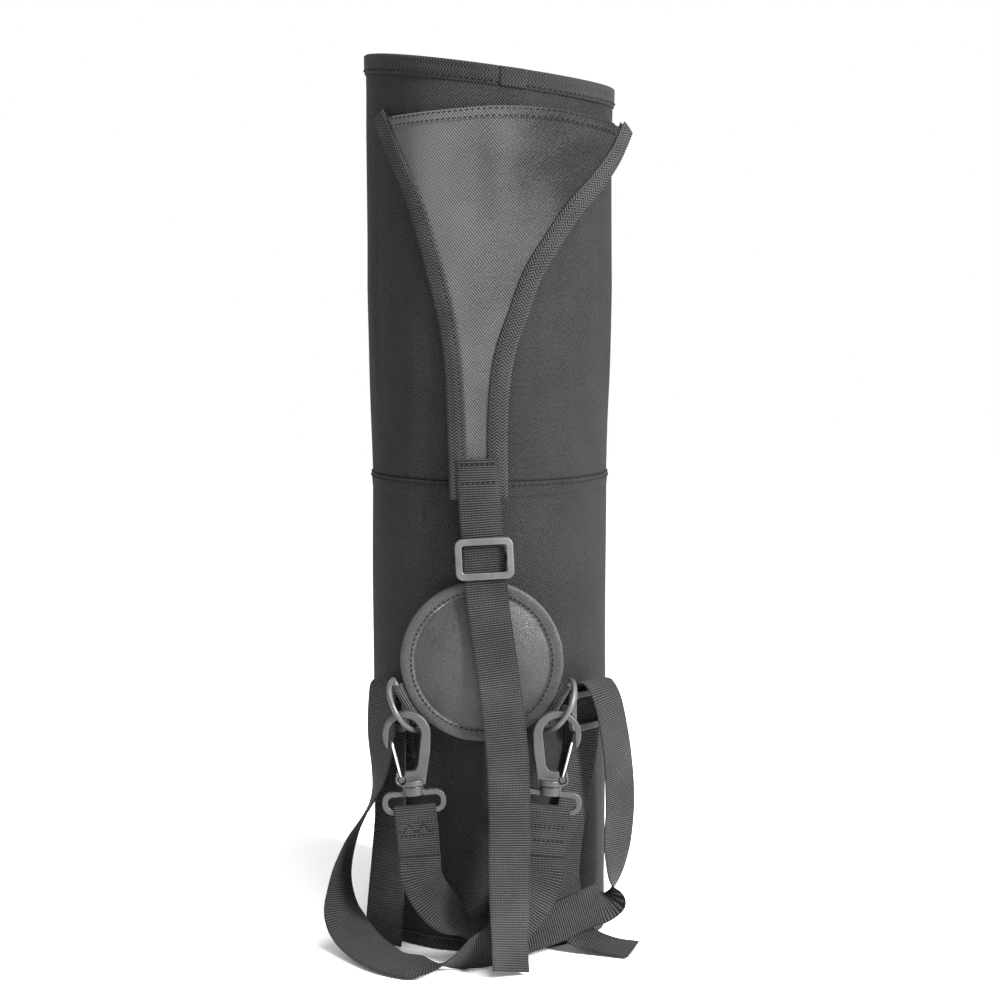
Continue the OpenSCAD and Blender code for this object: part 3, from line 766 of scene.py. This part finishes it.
# Seams up the back
def back_strip(name, low, high, node):
    nv = max(int((high - low) / 0.004), 8)

    def point(i, j):
        a = pi + lerp(-0.006, 0.006, j / 10) / TUBE_R
        z = lerp(low, high, i / nv)
        edge = 1 - abs(2 * j / 10 - 1) ** 4
        lift = 0.0003 + 0.0006 * edge + 0.0002 * wobble(z * 60, j, 1)
        return ring_point(a, wall_at(z) + wall_shape(a, z) + lift, z)

    piece = shell(name, point, 10, nv, 0.0008, lambda i, j: (j / 10 * 0.012, lerp(low, high, i / nv)))
    dress(piece, TUBE_CLOTH, "tube", node)
    heights = [lerp(low + 0.002, high - 0.002, i / nv) for i in range(nv + 1)]
    for k, off in enumerate((-0.004, 0.004)):
        a = pi + off / TUBE_R
        pts = [ring_point(a, wall_at(z) + wall_shape(a, z) + 0.00085, z) for z in heights]
        stitch_row(f"{name}_stitches_{k}", pts, [ring_point(a, 1, 0)] * len(pts), "tube")


back_strip("back_seam_fold", 0.0085, 0.2765, "back_seam")
back_strip("upper_back_seam_fold", 0.2872, 0.5062, "upper_back_seam")


# Lining, and the disc on the base
def lining_point(i, j):
    a = -pi + U[j]
    top = rim_at(MOUTH_R * sin(a)) - 0.0006
    z = lerp(0.0052, top, i / 100)
    r = wall_at(z) - 0.0040 + 0.0003 * wobble(sin(a) * 5, cos(a) * 5, z * 22, 9)
    return ring_point(a, r, z)


lining = shell("lining_cloth", lining_point, NU, 100, 0.0004, lambda i, j: (U[j] * TUBE_R, lining_point(i, j).z),
               closed_u=True, flip=True)
for poly in lining.data.polygons:
    poly.flip()
dress(lining, LINING, "tube", "lining")

RINGS, SPOKES = 24, 96
verts = [Vector((0, 0, 0.0058))]
for i in range(1, RINGS + 1):
    for j in range(SPOKES):
        a, r = 2 * pi * j / SPOKES, 0.0691 * i / RINGS
        x, y = r * cos(a), r * sin(a)
        verts.append(Vector((x, y, 0.0056 + 0.0006 * wobble(30 * x, 30 * y, 1) * (1 - i / RINGS))))
faces = [(0, 1 + j, 1 + (j + 1) % SPOKES) for j in range(SPOKES)]
faces += [tuple(reversed(f)) for f in grid_faces(RINGS, SPOKES, closed_u=True, base=1)]
floor_cloth = mesh_piece("base_lining_cloth", verts, faces, [(v.x, v.y) for v in verts])
dress(floor_cloth, LINING, "tube", "base_lining")


# ---- shoulder panel
def along_edge(line, z):
    pts = sorted(line, key=lambda p: p[1])
    z = min(max(z, pts[0][1]), pts[-1][1])
    for k in range(len(pts) - 1):
        if z <= pts[k + 1][1]:
            a, b = pts[max(k - 1, 0)], pts[k]
            c, d = pts[k + 1], pts[min(k + 2, len(pts) - 1)]
            t = (z - b[1]) / max(c[1] - b[1], 1e-6)
            ma = (c[0] - a[0]) / max(c[1] - a[1], 1e-6) * (c[1] - b[1])
            mb = (d[0] - b[0]) / max(d[1] - b[1], 1e-6) * (c[1] - b[1])
            h = t * t * (3 - 2 * t)
            return b[0] * (1 - h) + c[0] * h + ma * (t ** 3 - 2 * t * t + t) + mb * (t ** 3 - t * t)
    return pts[-1][0]


def top_at(x):
    for a, b in zip(TOP_EDGE, TOP_EDGE[1:]):
        if x <= b[0]:
            t = min(max((x - a[0]) / (b[0] - a[0]), 0), 1)
            return a[1] + (b[1] - a[1]) * t
    return TOP_EDGE[-1][1]


def arc_angle(x_mm):
    return asin(max(min((x_mm * MM - ARC_X) / PANEL_R, 0.97), -0.97))


def arc_point(angle, radius, z):
    return Vector((ARC_X + radius * sin(angle), ARC_Y - radius * cos(angle), z))


def arc_normals(row):
    return [Vector((p.x - ARC_X, p.y - ARC_Y, 0)).normalized() for p in row]


def panel_wave(angle, z):
    """Soft hollows and folds of the panel, flat where it is sewn down."""
    s = angle * PANEL_R
    free = ease((0.503 - z) / 0.03) * ease((z - 0.276) / 0.05)
    wave_ = 0.0018 * wobble(s * 24, z * 13, 2.0, 4.0) + 0.0007 * wobble(s * 60, z * 40, 1.0, 7.0)
    dent = -0.0022 * exp(-((s - 0.014) / 0.012) ** 2 - ((z - 0.497) / 0.010) ** 2)
    ridge = 0.0018 * exp(-((s + 0.003) / 0.010) ** 2 - ((z - 0.478) / 0.030) ** 2)
    left = 0.0010 * exp(-((s + 0.050) / 0.012) ** 2 - ((z - 0.484) / 0.018) ** 2)
    return wave_ * free + dent + ridge + left


def panel_param(u, v, inset):
    """Angle and height of a point of the panel, u from its left to its right edge and v up it."""
    z = lerp(PANEL_LOW, PANEL_HIGH, v)
    for _ in range(4):
        x0, x1 = along_edge(LEFT_EDGE, z) + inset, along_edge(RIGHT_EDGE, z) - inset
        a = lerp(arc_angle(x0), arc_angle(x1), u)
        x = (ARC_X + PANEL_R * sin(a)) / MM
        z = lerp(PANEL_LOW, top_at(x) - 0.3, v)
    return a, z * MM


PU, PV = 90, 110
PANEL = {}


def panel_at(i, j):
    if (i, j) not in PANEL:
        a, z = panel_param(j / PU, i / PV, 0.6)
        PANEL[i, j] = arc_point(a, PANEL_R + panel_wave(a, z), z), (a * PANEL_R, z)
    return PANEL[i, j]


panel = shell("shoulder_panel_cloth", lambda i, j: panel_at(i, j)[0], PU, PV, 0.0016,
              lambda i, j: panel_at(i, j)[1])
dress(panel, PANEL_CLOTH, "panel", "shoulder_panel", "panel_backing", "panel_hem")


def edge_line(line, low, high):
    """Points of a panel edge on the unrolled panel, (arc length, z) in metres."""
    out = []
    n = int((high - low) / 1.5)
    for k in range(n + 1):
        z = lerp(low, high, k / n)
        out.append(Vector((arc_angle(along_edge(line, z)) * PANEL_R, z * MM)))
    return out


def edge_tape(name, line, low, high, side, node):
    pts = edge_line(line, low, high)
    profile = [(11.0, 0.35), (10.6, 0.8), (6, 0.95), (2, 0.9), (0.6, 0.75), (0, -0.1), (0, -1.0), (0.6, -2.0),
               (2.0, -2.2), (6, -2.2), (10.8, -1.9)]
    n = len(pts)

    def where(i, across, lift):
        t = (pts[min(i + 1, n - 1)] - pts[max(i - 1, 0)]).normalized()
        inward = Vector((t.y, -t.x)) * side
        p = pts[i] + inward * across
        a = p.x / PANEL_R
        return arc_point(a, PANEL_R + panel_wave(a, p.y) + lift, p.y)

    dist, w = running_length(pts), running_length(profile)
    m = len(profile)
    piece = shell(name, lambda i, j: where(i, profile[j][0] * MM, profile[j][1] * MM), m - 1, n - 1, 0.0004,
                  lambda i, j: (w[j] * MM, dist[i]), flip=(side < 0))
    dress(piece, TAPE, "panel", node)
    row = [where(i, 0.0090, 0.00095) for i in range(n)]
    stitch_row(name + "_stitches", row[1:-1], arc_normals(row[1:-1]), "panel")


edge_tape("left_binding_tape", LEFT_EDGE, 276.2, 499.5, 1, "left_panel_binding")
edge_tape("right_binding_tape", RIGHT_EDGE, 277.7, 491.5, -1, "right_panel_binding")


# Hem along the panel's top: a turned fold with two rows of stitches
def hem_point(i, j):
    a = lerp(arc_angle(-58), arc_angle(74), j / 80)
    x = (ARC_X + PANEL_R * sin(a)) / MM
    top = top_at(x) * MM + 0.0002
    z = top - 0.0070 * (1 - i / 8)
    edge = 1 - abs(2 * i / 8 - 1) ** 6
    return arc_point(a, PANEL_R + panel_wave(a, z) + 0.0001 + 0.0005 * edge, z)


hem = shell("panel_hem_fold", hem_point, 80, 8, 0.0005, lambda i, j: (j / 80 * 0.14, i / 8 * 0.007))
dress(hem, PANEL_CLOTH, "panel")
for k, i in enumerate((1.6, 6.4)):
    row = [hem_point(i, j) for j in range(81)]
    stitch_row(f"panel_hem_stitches_{k}", row, arc_normals(row), "panel")


# The flap that joins the panel's top to the tube
def anchor_point(i, j):
    a = lerp(-0.40, 0.50, j / 40)
    t = i / 10
    p = ring_point(a, wall_at(0.49) + 0.0004, lerp(0.4865, 0.5018, t))
    q = arc_point(arc_angle(p.x / MM), 0.0895, p.z)
    swell = 0.5 - 0.5 * cos(2 * pi * t)
    return p.lerp(q, 0.35 + 0.6 * ease(t * 1.6)) + Vector((0, -0.0002 * swell, 0))


anchor = shell("panel_anchor_flap", anchor_point, 40, 10, 0.0012, lambda i, j: (j * 0.0018, i * 0.0016))
dress(anchor, TUBE_CLOTH, "tube", "panel_anchor")


# ---- webbing straps
def unit(v):
    return v / max(v.length, 1e-12)


def strap_frames(route, step):
    """Centre, along, across and outward directions at even parameter steps along a route."""
    n = len(route) - 1
    count = int(n * step)
    frames = []
    for k in range(count + 1):
        s = min(k / step, n - 1e-6)
        p = catmull(route, s)
        a, b = catmull(route, max(s - 0.02, 0)), catmull(route, min(s + 0.02, n - 1e-6))
        t = unit(Vector(b[:3]) - Vector(a[:3]))
        c = Vector(p[3:])
        u = unit(c - t * c.dot(t))
        frames.append([Vector(p[:3]) * MM, t, u, t.cross(u)])
    return frames


def strap(name, frames, shape, seed=0.0, run=0.0):
    """Webbing along frames, with rounded selvedges; shape(k, across) moves a point off the middle plane."""
    half, h = WEB / 2, WEB_T / 2
    section = []
    for x in [-1, -0.97, -0.9, -0.72, -0.5, -0.25, 0, 0.25, 0.5, 0.72, 0.9, 0.97, 1]:
        section.append((x * half, h * (1 - abs(x) ** 14 * 0.55)))
    ring = section + [(x, -y) for x, y in reversed(section)]
    m = len(ring)
    dist = running_length([f[0] for f in frames], run)
    verts, uvs = [], []
    for k, (p, t, u, nrm) in enumerate(frames):
        d = dist[k]
        for x, y in ring:
            lift = 0.00018 * wobble(d * 90, x * 120, seed, 1.0) + shape(k, x)
            side = 1 + 0.012 * wobble(d * 35, 1 if x > 0 else -1, seed)
            verts.append(p + u * x * side + nrm * (y + lift))
            uvs.append((x + half, d))
    n = len(frames)
    faces = grid_faces(n, m, closed_u=True)
    mid = len(section)
    for base, rev in ((0, True), ((n - 1) * m, False)):
        for k in range(mid - 1):
            f = (base + k, base + k + 1, base + m - 2 - k, base + m - 1 - k)
            faces.append(tuple(reversed(f)) if not rev else f)
    piece = mesh_piece(name, verts, faces, uvs)
    set_material(piece, WEBBING)
    return piece, dist[-1] - run


# Centre strap: sewn on the panel at the top, through the adjuster, over the hub, down to a cut end
center_frames = strap_frames(CENTER_ROUTE, 12)


def follow_panel(k, x):
    p = center_frames[k][0]
    w = ease((p.z - 0.262) / 0.016)
    if w <= 0:
        return 0.0
    at = p.x + x
    face = ARC_Y - sqrt(0.09265 ** 2 - (at - ARC_X) ** 2) - WEB_T / 2
    n_y = center_frames[k][3].y
    return w * (face - p.y) / n_y


center, center_len = strap("center_strap_web", center_frames, follow_panel)
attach(center, "panel")
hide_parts("center_strap", "center_strap_tail")


sign = 1 if center_frames[4][3].y < 0 else -1
for name, k in (("center_strap_stitches_a", 3), ("center_strap_stitches_b", 13)):
    p, _, u, n = center_frames[k]
    offsets = [lerp(-0.0105, 0.0105, i / 20) for i in range(21)]
    pts = [p + u * x + n * (follow_panel(k, x) + sign * 0.00085) for x in offsets]
    stitch_row(name, pts, [n * sign] * 21, "panel", length=0.0021, pitch=0.0029)


# Side straps: from the sewn end under the hook, round the base, up through the adjusters and down again
def side_strap(label, side, route, seed, *nodes):
    """Webbing in two pieces: the lead, next to the hook, and the rest, which holds the loop through the side
    adjuster."""
    frames = strap_frames(route, 12)
    split = 24  # the third point of the route

    def cup(k, x):
        return 0.0006 * wobble(k * 0.035, seed, 0.0) * (1 - (2 * x / WEB) ** 2)

    lead, lead_length = strap(f"{label}_strap_lead", frames[:split + 1], cup, seed)
    rest, length = strap(f"{label}_side_strap", frames[split:], lambda k, x: cup(k + split, x), seed, lead_length)
    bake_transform(lead)
    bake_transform(rest)
    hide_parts(nodes[0])
    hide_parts(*nodes[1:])


side_strap("left", -1, LEFT_ROUTE, 2.0, "left_strap_front", "left_strap_turn", "left_strap_loop",
           "left_strap_thread", "left_strap_tail")
side_strap("right", 1, RIGHT_ROUTE, 5.0, "right_strap_front", "right_strap_floor", "right_strap_loop",
           "right_strap_thread", "right_strap_tail")


# ---- folded webbing on bars
def turn(radius, first, sweep, count):
    """The outline's way round a bar, from the angle first through sweep, in degrees."""
    angles = [radians(first + sweep * k / count) for k in range(count + 1)]
    return [(radius * cos(t), radius * sin(t)) for t in angles]


def across(at, half=0.0105):
    """Points of a stitch row across webbing; at(x) gives the point x from its middle."""
    return [at(lerp(-half, half, k / 20)) for k in range(21)]


def folded_web(name, place, outline, body, node, material=WEBBING):
    """Webbing bent along an outline of (a, b) pairs; place(x, a, b) puts a point x from its middle."""
    n = len(outline)
    verts, uvs, faces = [], [], []
    cols = [-1, -0.97, -0.9, -0.72, -0.4, 0, 0.4, 0.72, 0.9, 0.97, 1]
    dist = running_length(outline + outline[:1])
    for k, (a, b) in enumerate(outline + outline[:1]):
        for c in cols:
            x = c * WEB / 2
            verts.append(place(x, a, b))
            uvs.append((x + WEB / 2, dist[k]))
    m = len(cols)
    for k in range(n):
        for j in range(m - 1):
            a, b = k * m + j, k * m + j + 1
            faces.append((a, b, b + m, a + m))
    faces.append(tuple(k * m for k in range(n)))
    faces.append(tuple(k * m + m - 1 for k in reversed(range(n))))
    piece = mesh_piece(name, verts, faces, uvs)
    flags = [True] * len(faces)
    flags[-1] = flags[-2] = False
    piece.data.polygons.foreach_set("use_smooth", flags)
    clean_normals(piece)
    dress(piece, material, body, node)


def clean_normals(piece):
    bm = bmesh.new()
    bm.from_mesh(piece.data)
    bmesh.ops.remove_doubles(bm, verts=bm.verts, dist=1e-7)
    bmesh.ops.recalc_face_normals(bm, faces=bm.faces)
    bm.to_mesh(piece.data)
    bm.free()
    piece.data.update()


LEAN = radians(5)
SEAT = Vector((0.0383, -0.0894, 0.1414))
COLLAR_X, COLLAR_Z = 0.0015, -0.0338


def mirrored(v, side):
    return v if side > 0 else Vector((2 * HUB.x - v.x, v.y, v.z))


def hook_place(side, x, y, z):
    """A point of the hook's own frame (collar at 0) in the row frame."""
    a, b = x + COLLAR_X, z + COLLAR_Z
    p = SEAT + Vector((a * cos(LEAN) + b * sin(LEAN), y, -a * sin(LEAN) + b * cos(LEAN)))
    return mirrored(p, side)


EYE_BAR = -0.0158


def strap_end_outline():
    """Side view of the doubled webbing round the eye's bar: pairs (down, forward)."""
    front = [(0.004, -0.0028), (0.008, -0.00175), (0.014, -0.0016), (0.0268, -0.00155), (0.0276, -0.0010)]
    return turn(0.0035, 90, 180, 24) + front + [(a, -b) for a, b in reversed(front)]


for side, label in SIDES:
    def place(x, a, b, side=side):
        return hook_place(side, x + 0.0004 * wobble(a * 100, 0, side), -b, EYE_BAR - a)

    def on_face(down, side=side):
        return lambda x: hook_place(side, x, -0.00175, EYE_BAR - down)

    def zigzag(x, side=side):
        return hook_place(side, x, -0.00175, EYE_BAR - 0.0105 - 0.0022 * sin((x / 0.021 + 0.5) * 5 * pi))

    folded_web(f"{label}_strap_sewn_end", place, strap_end_outline(), f"{label}_swivel", f"{label}_strap_end")
    if side < 0:
        wave_row = [zigzag(lerp(-0.0105, 0.0105, k / 60)) for k in range(61)]
        rows = [wave_row, across(on_face(0.0068)), across(on_face(0.0146))]
    else:
        rows = [across(on_face(down), 0.0108) for down in (0.0085, 0.0102, 0.0180)]
    for r, pts in enumerate(rows):
        stitch_row(f"{label}_end_stitches_{r}", pts, [Vector((0, -1, 0))] * len(pts), f"{label}_swivel",
                   length=0.0019, pitch=0.0025)


# Tape round each D-ring's bar, out of the hub's edge
RING_DROP, RING_REACH = radians(30), 0.0515
tape_side = [(-0.0045, 0.0010), (-0.0070, 0.00088), (-0.0124, 0.00085)]
tape_outline = turn(0.0029, -158, 316, 30) + tape_side + [(a, -b) for a, b in reversed(tape_side)]

for side, label in SIDES:
    def place(x, a, b, side=side):
        r = RING_REACH + a
        co, si = cos(RING_DROP), sin(RING_DROP)
        return mirrored(HUB + Vector((r * co + x * si, b, -r * si + x * co)), side)

    folded_web(f"{label}_ring_tape_fold", place, tape_outline, "hub", f"{label}_ring_tape", RING_TAPE)

# Hanger from the centre adjuster into the hub's top edge
HANGER_TILT = radians(-3)
HANGER_TOP = Vector((-0.0023, HUB.y - 0.00175, 0.2421))


def hanger_place(x, a, b):
    """a runs down the hanger, b towards the tube."""
    co, si = cos(HANGER_TILT), sin(HANGER_TILT)
    return HANGER_TOP + Vector((x * co - a * si, b, -x * si - a * co))


hanger_outline = turn(0.0026, 50, 262, 24) + [(0.0035, 0.0003), (0.006, 0.0008), (0.0262, 0.0009), (0.0262, 0.0026),
                                              (0.006, 0.0026), (0.0035, 0.0026)]
folded_web("hub_hanger_fold", hanger_place, hanger_outline, "hub", "hub_hanger")


# Tabs of the side adjusters, sewn to the tube
SIDE_AZIMUTH, SIDE_OUT, SIDE_Z = radians(47.5), 0.0792, 0.1465


def side_place(side, x, y, z):
    """x across, y towards the tube from the strap, z up, from the middle of a side adjuster."""
    a = side * SIDE_AZIMUTH
    y -= SIDE_OUT
    return Vector((x * cos(a) - y * sin(a), x * sin(a) + y * cos(a), SIDE_Z + z))


tab_outline = turn(0.0025, 50, 262, 24) + [(0.0035, 0.0005), (0.006, 0.0007), (0.0296, 0.00075), (0.0299, 0.0024),
                                           (0.006, 0.0025), (0.0035, 0.0025)]

for side, label in SIDES:
    def place(x, a, b, side=side):
        # the lower end follows the wall's round
        flat = SIDE_OUT - TUBE_R - 0.00255
        bend = (sqrt(TUBE_R ** 2 - x ** 2) - TUBE_R) * ease((a - 0.006) / 0.01)
        return side_place(side, x, flat + b - bend, -a)

    folded_web(f"{label}_adjuster_tab_fold", place, tab_outline, "tube", f"{label}_adjuster_tab")
    outward = (side_place(side, 0, -1, 0) - side_place(side, 0, 0, 0)).normalized()
    for r, d in enumerate((0.0105, 0.0265)):
        stitch_row(f"{label}_tab_stitches_{r}", across(lambda x: place(x, d, 0.0006)), [outward] * 21, "tube",
                   length=0.0020, pitch=0.0027)


# ---- leather hub
def hub_disc_point(r, a, y):
    return Vector((HUB.x + r * sin(a), y, HUB.z + r * cos(a)))


def hub_profile():
    """(radius, distance in front of the hub's middle) from the centre outwards and round the flange's edge."""
    dome_r, rise = 0.0414, 0.0059
    ball = (dome_r ** 2 + rise ** 2) / (2 * rise)
    radii = [dome_r * k / 39 * 0.985 for k in range(40)]
    dome = [(r, 0.0009 + rise - (ball - sqrt(ball ** 2 - r ** 2))) for r in radii]
    return dome + [(0.0417, 0.00205), (0.0424, 0.00195), (0.0440, 0.0022), (0.0460, 0.00232), (0.0477, 0.00225),
                   (0.0483, 0.0020), (0.0485, 0.0015), (0.0483, 0.0011), (0.0475, 0.00095), (0.0455, 0.0009)]


HUB_SPOKES = 220


def hub_disc(name, node, profile, point):
    """Leather turned about the hub's middle; point(r, lift, a) places a point of the profile at the angle a."""
    angles = [2 * pi * j / HUB_SPOKES for j in range(HUB_SPOKES)]
    verts = [point(r, lift, a) for r, lift in profile for a in angles]
    uvs = [(r * sin(a), r * cos(a)) for r, _ in profile for a in angles]
    disc = mesh_piece(name, verts, grid_faces(len(profile), HUB_SPOKES, closed_u=True), uvs)
    clean_normals(disc)
    dress(disc, LEATHER, "hub", node)
    return disc


def front_point(r, lift, a):
    swell = 0.00035 * wobble(r * 55 * cos(a), r * 55 * sin(a), 3.0) * ease(r / 0.01)
    edge = 0.00035 * wobble(cos(a) * 6, sin(a) * 6, 8.0) if r > 0.043 else 0.0
    # the stitches pull the edge of the dome in between them
    if 0.0405 < r < 0.0425:
        swell -= 0.00022 * (0.5 + 0.5 * cos(a * 84))
    return hub_disc_point(max(r + edge, 1e-5), a, HUB.y - lift - swell * (1 if r < 0.0478 else 0.3))


def back_point(r, lift, a):
    swell = 0.0002 * wobble(r * 60 * cos(a), r * 60 * sin(a), 6.0) * ease(r / 0.01)
    return hub_disc_point(max(r, 1e-5), a, HUB.y - lift - swell)


hub_front = hub_disc("hub_front_leather", "hub_front", hub_profile(), front_point)
back_profile = [(0.0, -0.0023), (0.02, -0.0023), (0.0415, -0.00228), (0.0425, -0.0020), (0.044, -0.0022),
                (0.0465, -0.0023), (0.0482, -0.0021), (0.0485, -0.0016), (0.0482, -0.0011), (0.0470, -0.0009),
                (0.02, -0.0009), (0.0, -0.0009)]
hub_disc("hub_back_leather", "hub_back", back_profile, back_point)

for name, r, lift, toward in (("hub_front_stitches", 0.0421, 0.0022, -1), ("hub_back_stitches", 0.0425, -0.0020, 1)):
    pts = [hub_disc_point(r, radians(k), HUB.y - lift) for k in range(361)]
    stitch_row(name, pts, [Vector((0, toward, 0))] * 361, "hub", length=0.0022, pitch=0.00315, radius=0.0003)


# ---- hardware from the CAD shapes
def moulded(name, node, body, voxel, rounds, material):
    """A copy of a CAD node with softened edges, standing for it."""
    src = NODES[node]
    piece = bpy.data.objects.new(name, src.data.copy())
    scene.collection.objects.link(piece)
    piece.data.materials.clear()
    mod = piece.modifiers.new("voxels", "REMESH")
    mod.mode = "VOXEL"
    mod.voxel_size = voxel
    mod = piece.modifiers.new("soften", "SMOOTH")
    mod.factor = 0.5
    mod.iterations = rounds
    apply_modifiers(piece)
    piece.data.polygons.foreach_set("use_smooth", [True] * len(piece.data.polygons))
    dress(piece, material, body, node)
    return piece


moulded("center_adjuster_glide", "center_adjuster", "hub", 0.00035, 5, GLIDE)
for side, label in SIDES:
    moulded(f"{label}_adjuster_glide", f"{label}_adjuster", "tube", 0.00035, 5, GLIDE)
    moulded(f"{label}_hook_body", f"{label}_hook", f"{label}_snap_hook", 0.00032, 5, HOOK)
    moulded(f"{label}_swivel_eye", f"{label}_eye", f"{label}_swivel", 0.00032, 4, HOOK)
    gate = moulded(f"{label}_gate_wire", f"{label}_gate", f"{label}_hook_gate", 0.00022, 3, STEEL)
    gate.data.materials.append(HOOK)
    barrel = hook_place(side, 0.0062, 0, 0.0036)
    for poly in gate.data.polygons:
        if ((poly.center.x - barrel.x) ** 2 + (poly.center.z - barrel.z) ** 2) ** 0.5 < 0.0022:
            poly.material_index = 1
    moulded(f"{label}_ring_wire", f"{label}_ring", f"{label}_d_ring", 0.00030, 4, RING)

for node in ("base_panel", "base_board", "stiffener", "hub_core"):
    slots = NODES[node].data.materials
    if not slots:
        slots.append(HIDDEN)
    for k in range(len(slots)):
        slots[k] = TUBE_CLOTH if node == "base_panel" else HIDDEN

# ---- floor
corners = [(x, y, -0.0001) for x, y in ((-3, -3), (3, -3), (3, 3), (-3, 3))]
floor = mesh_piece("floor", corners, [(0, 1, 2, 3)], smooth=False)
set_material(floor, floor_material())
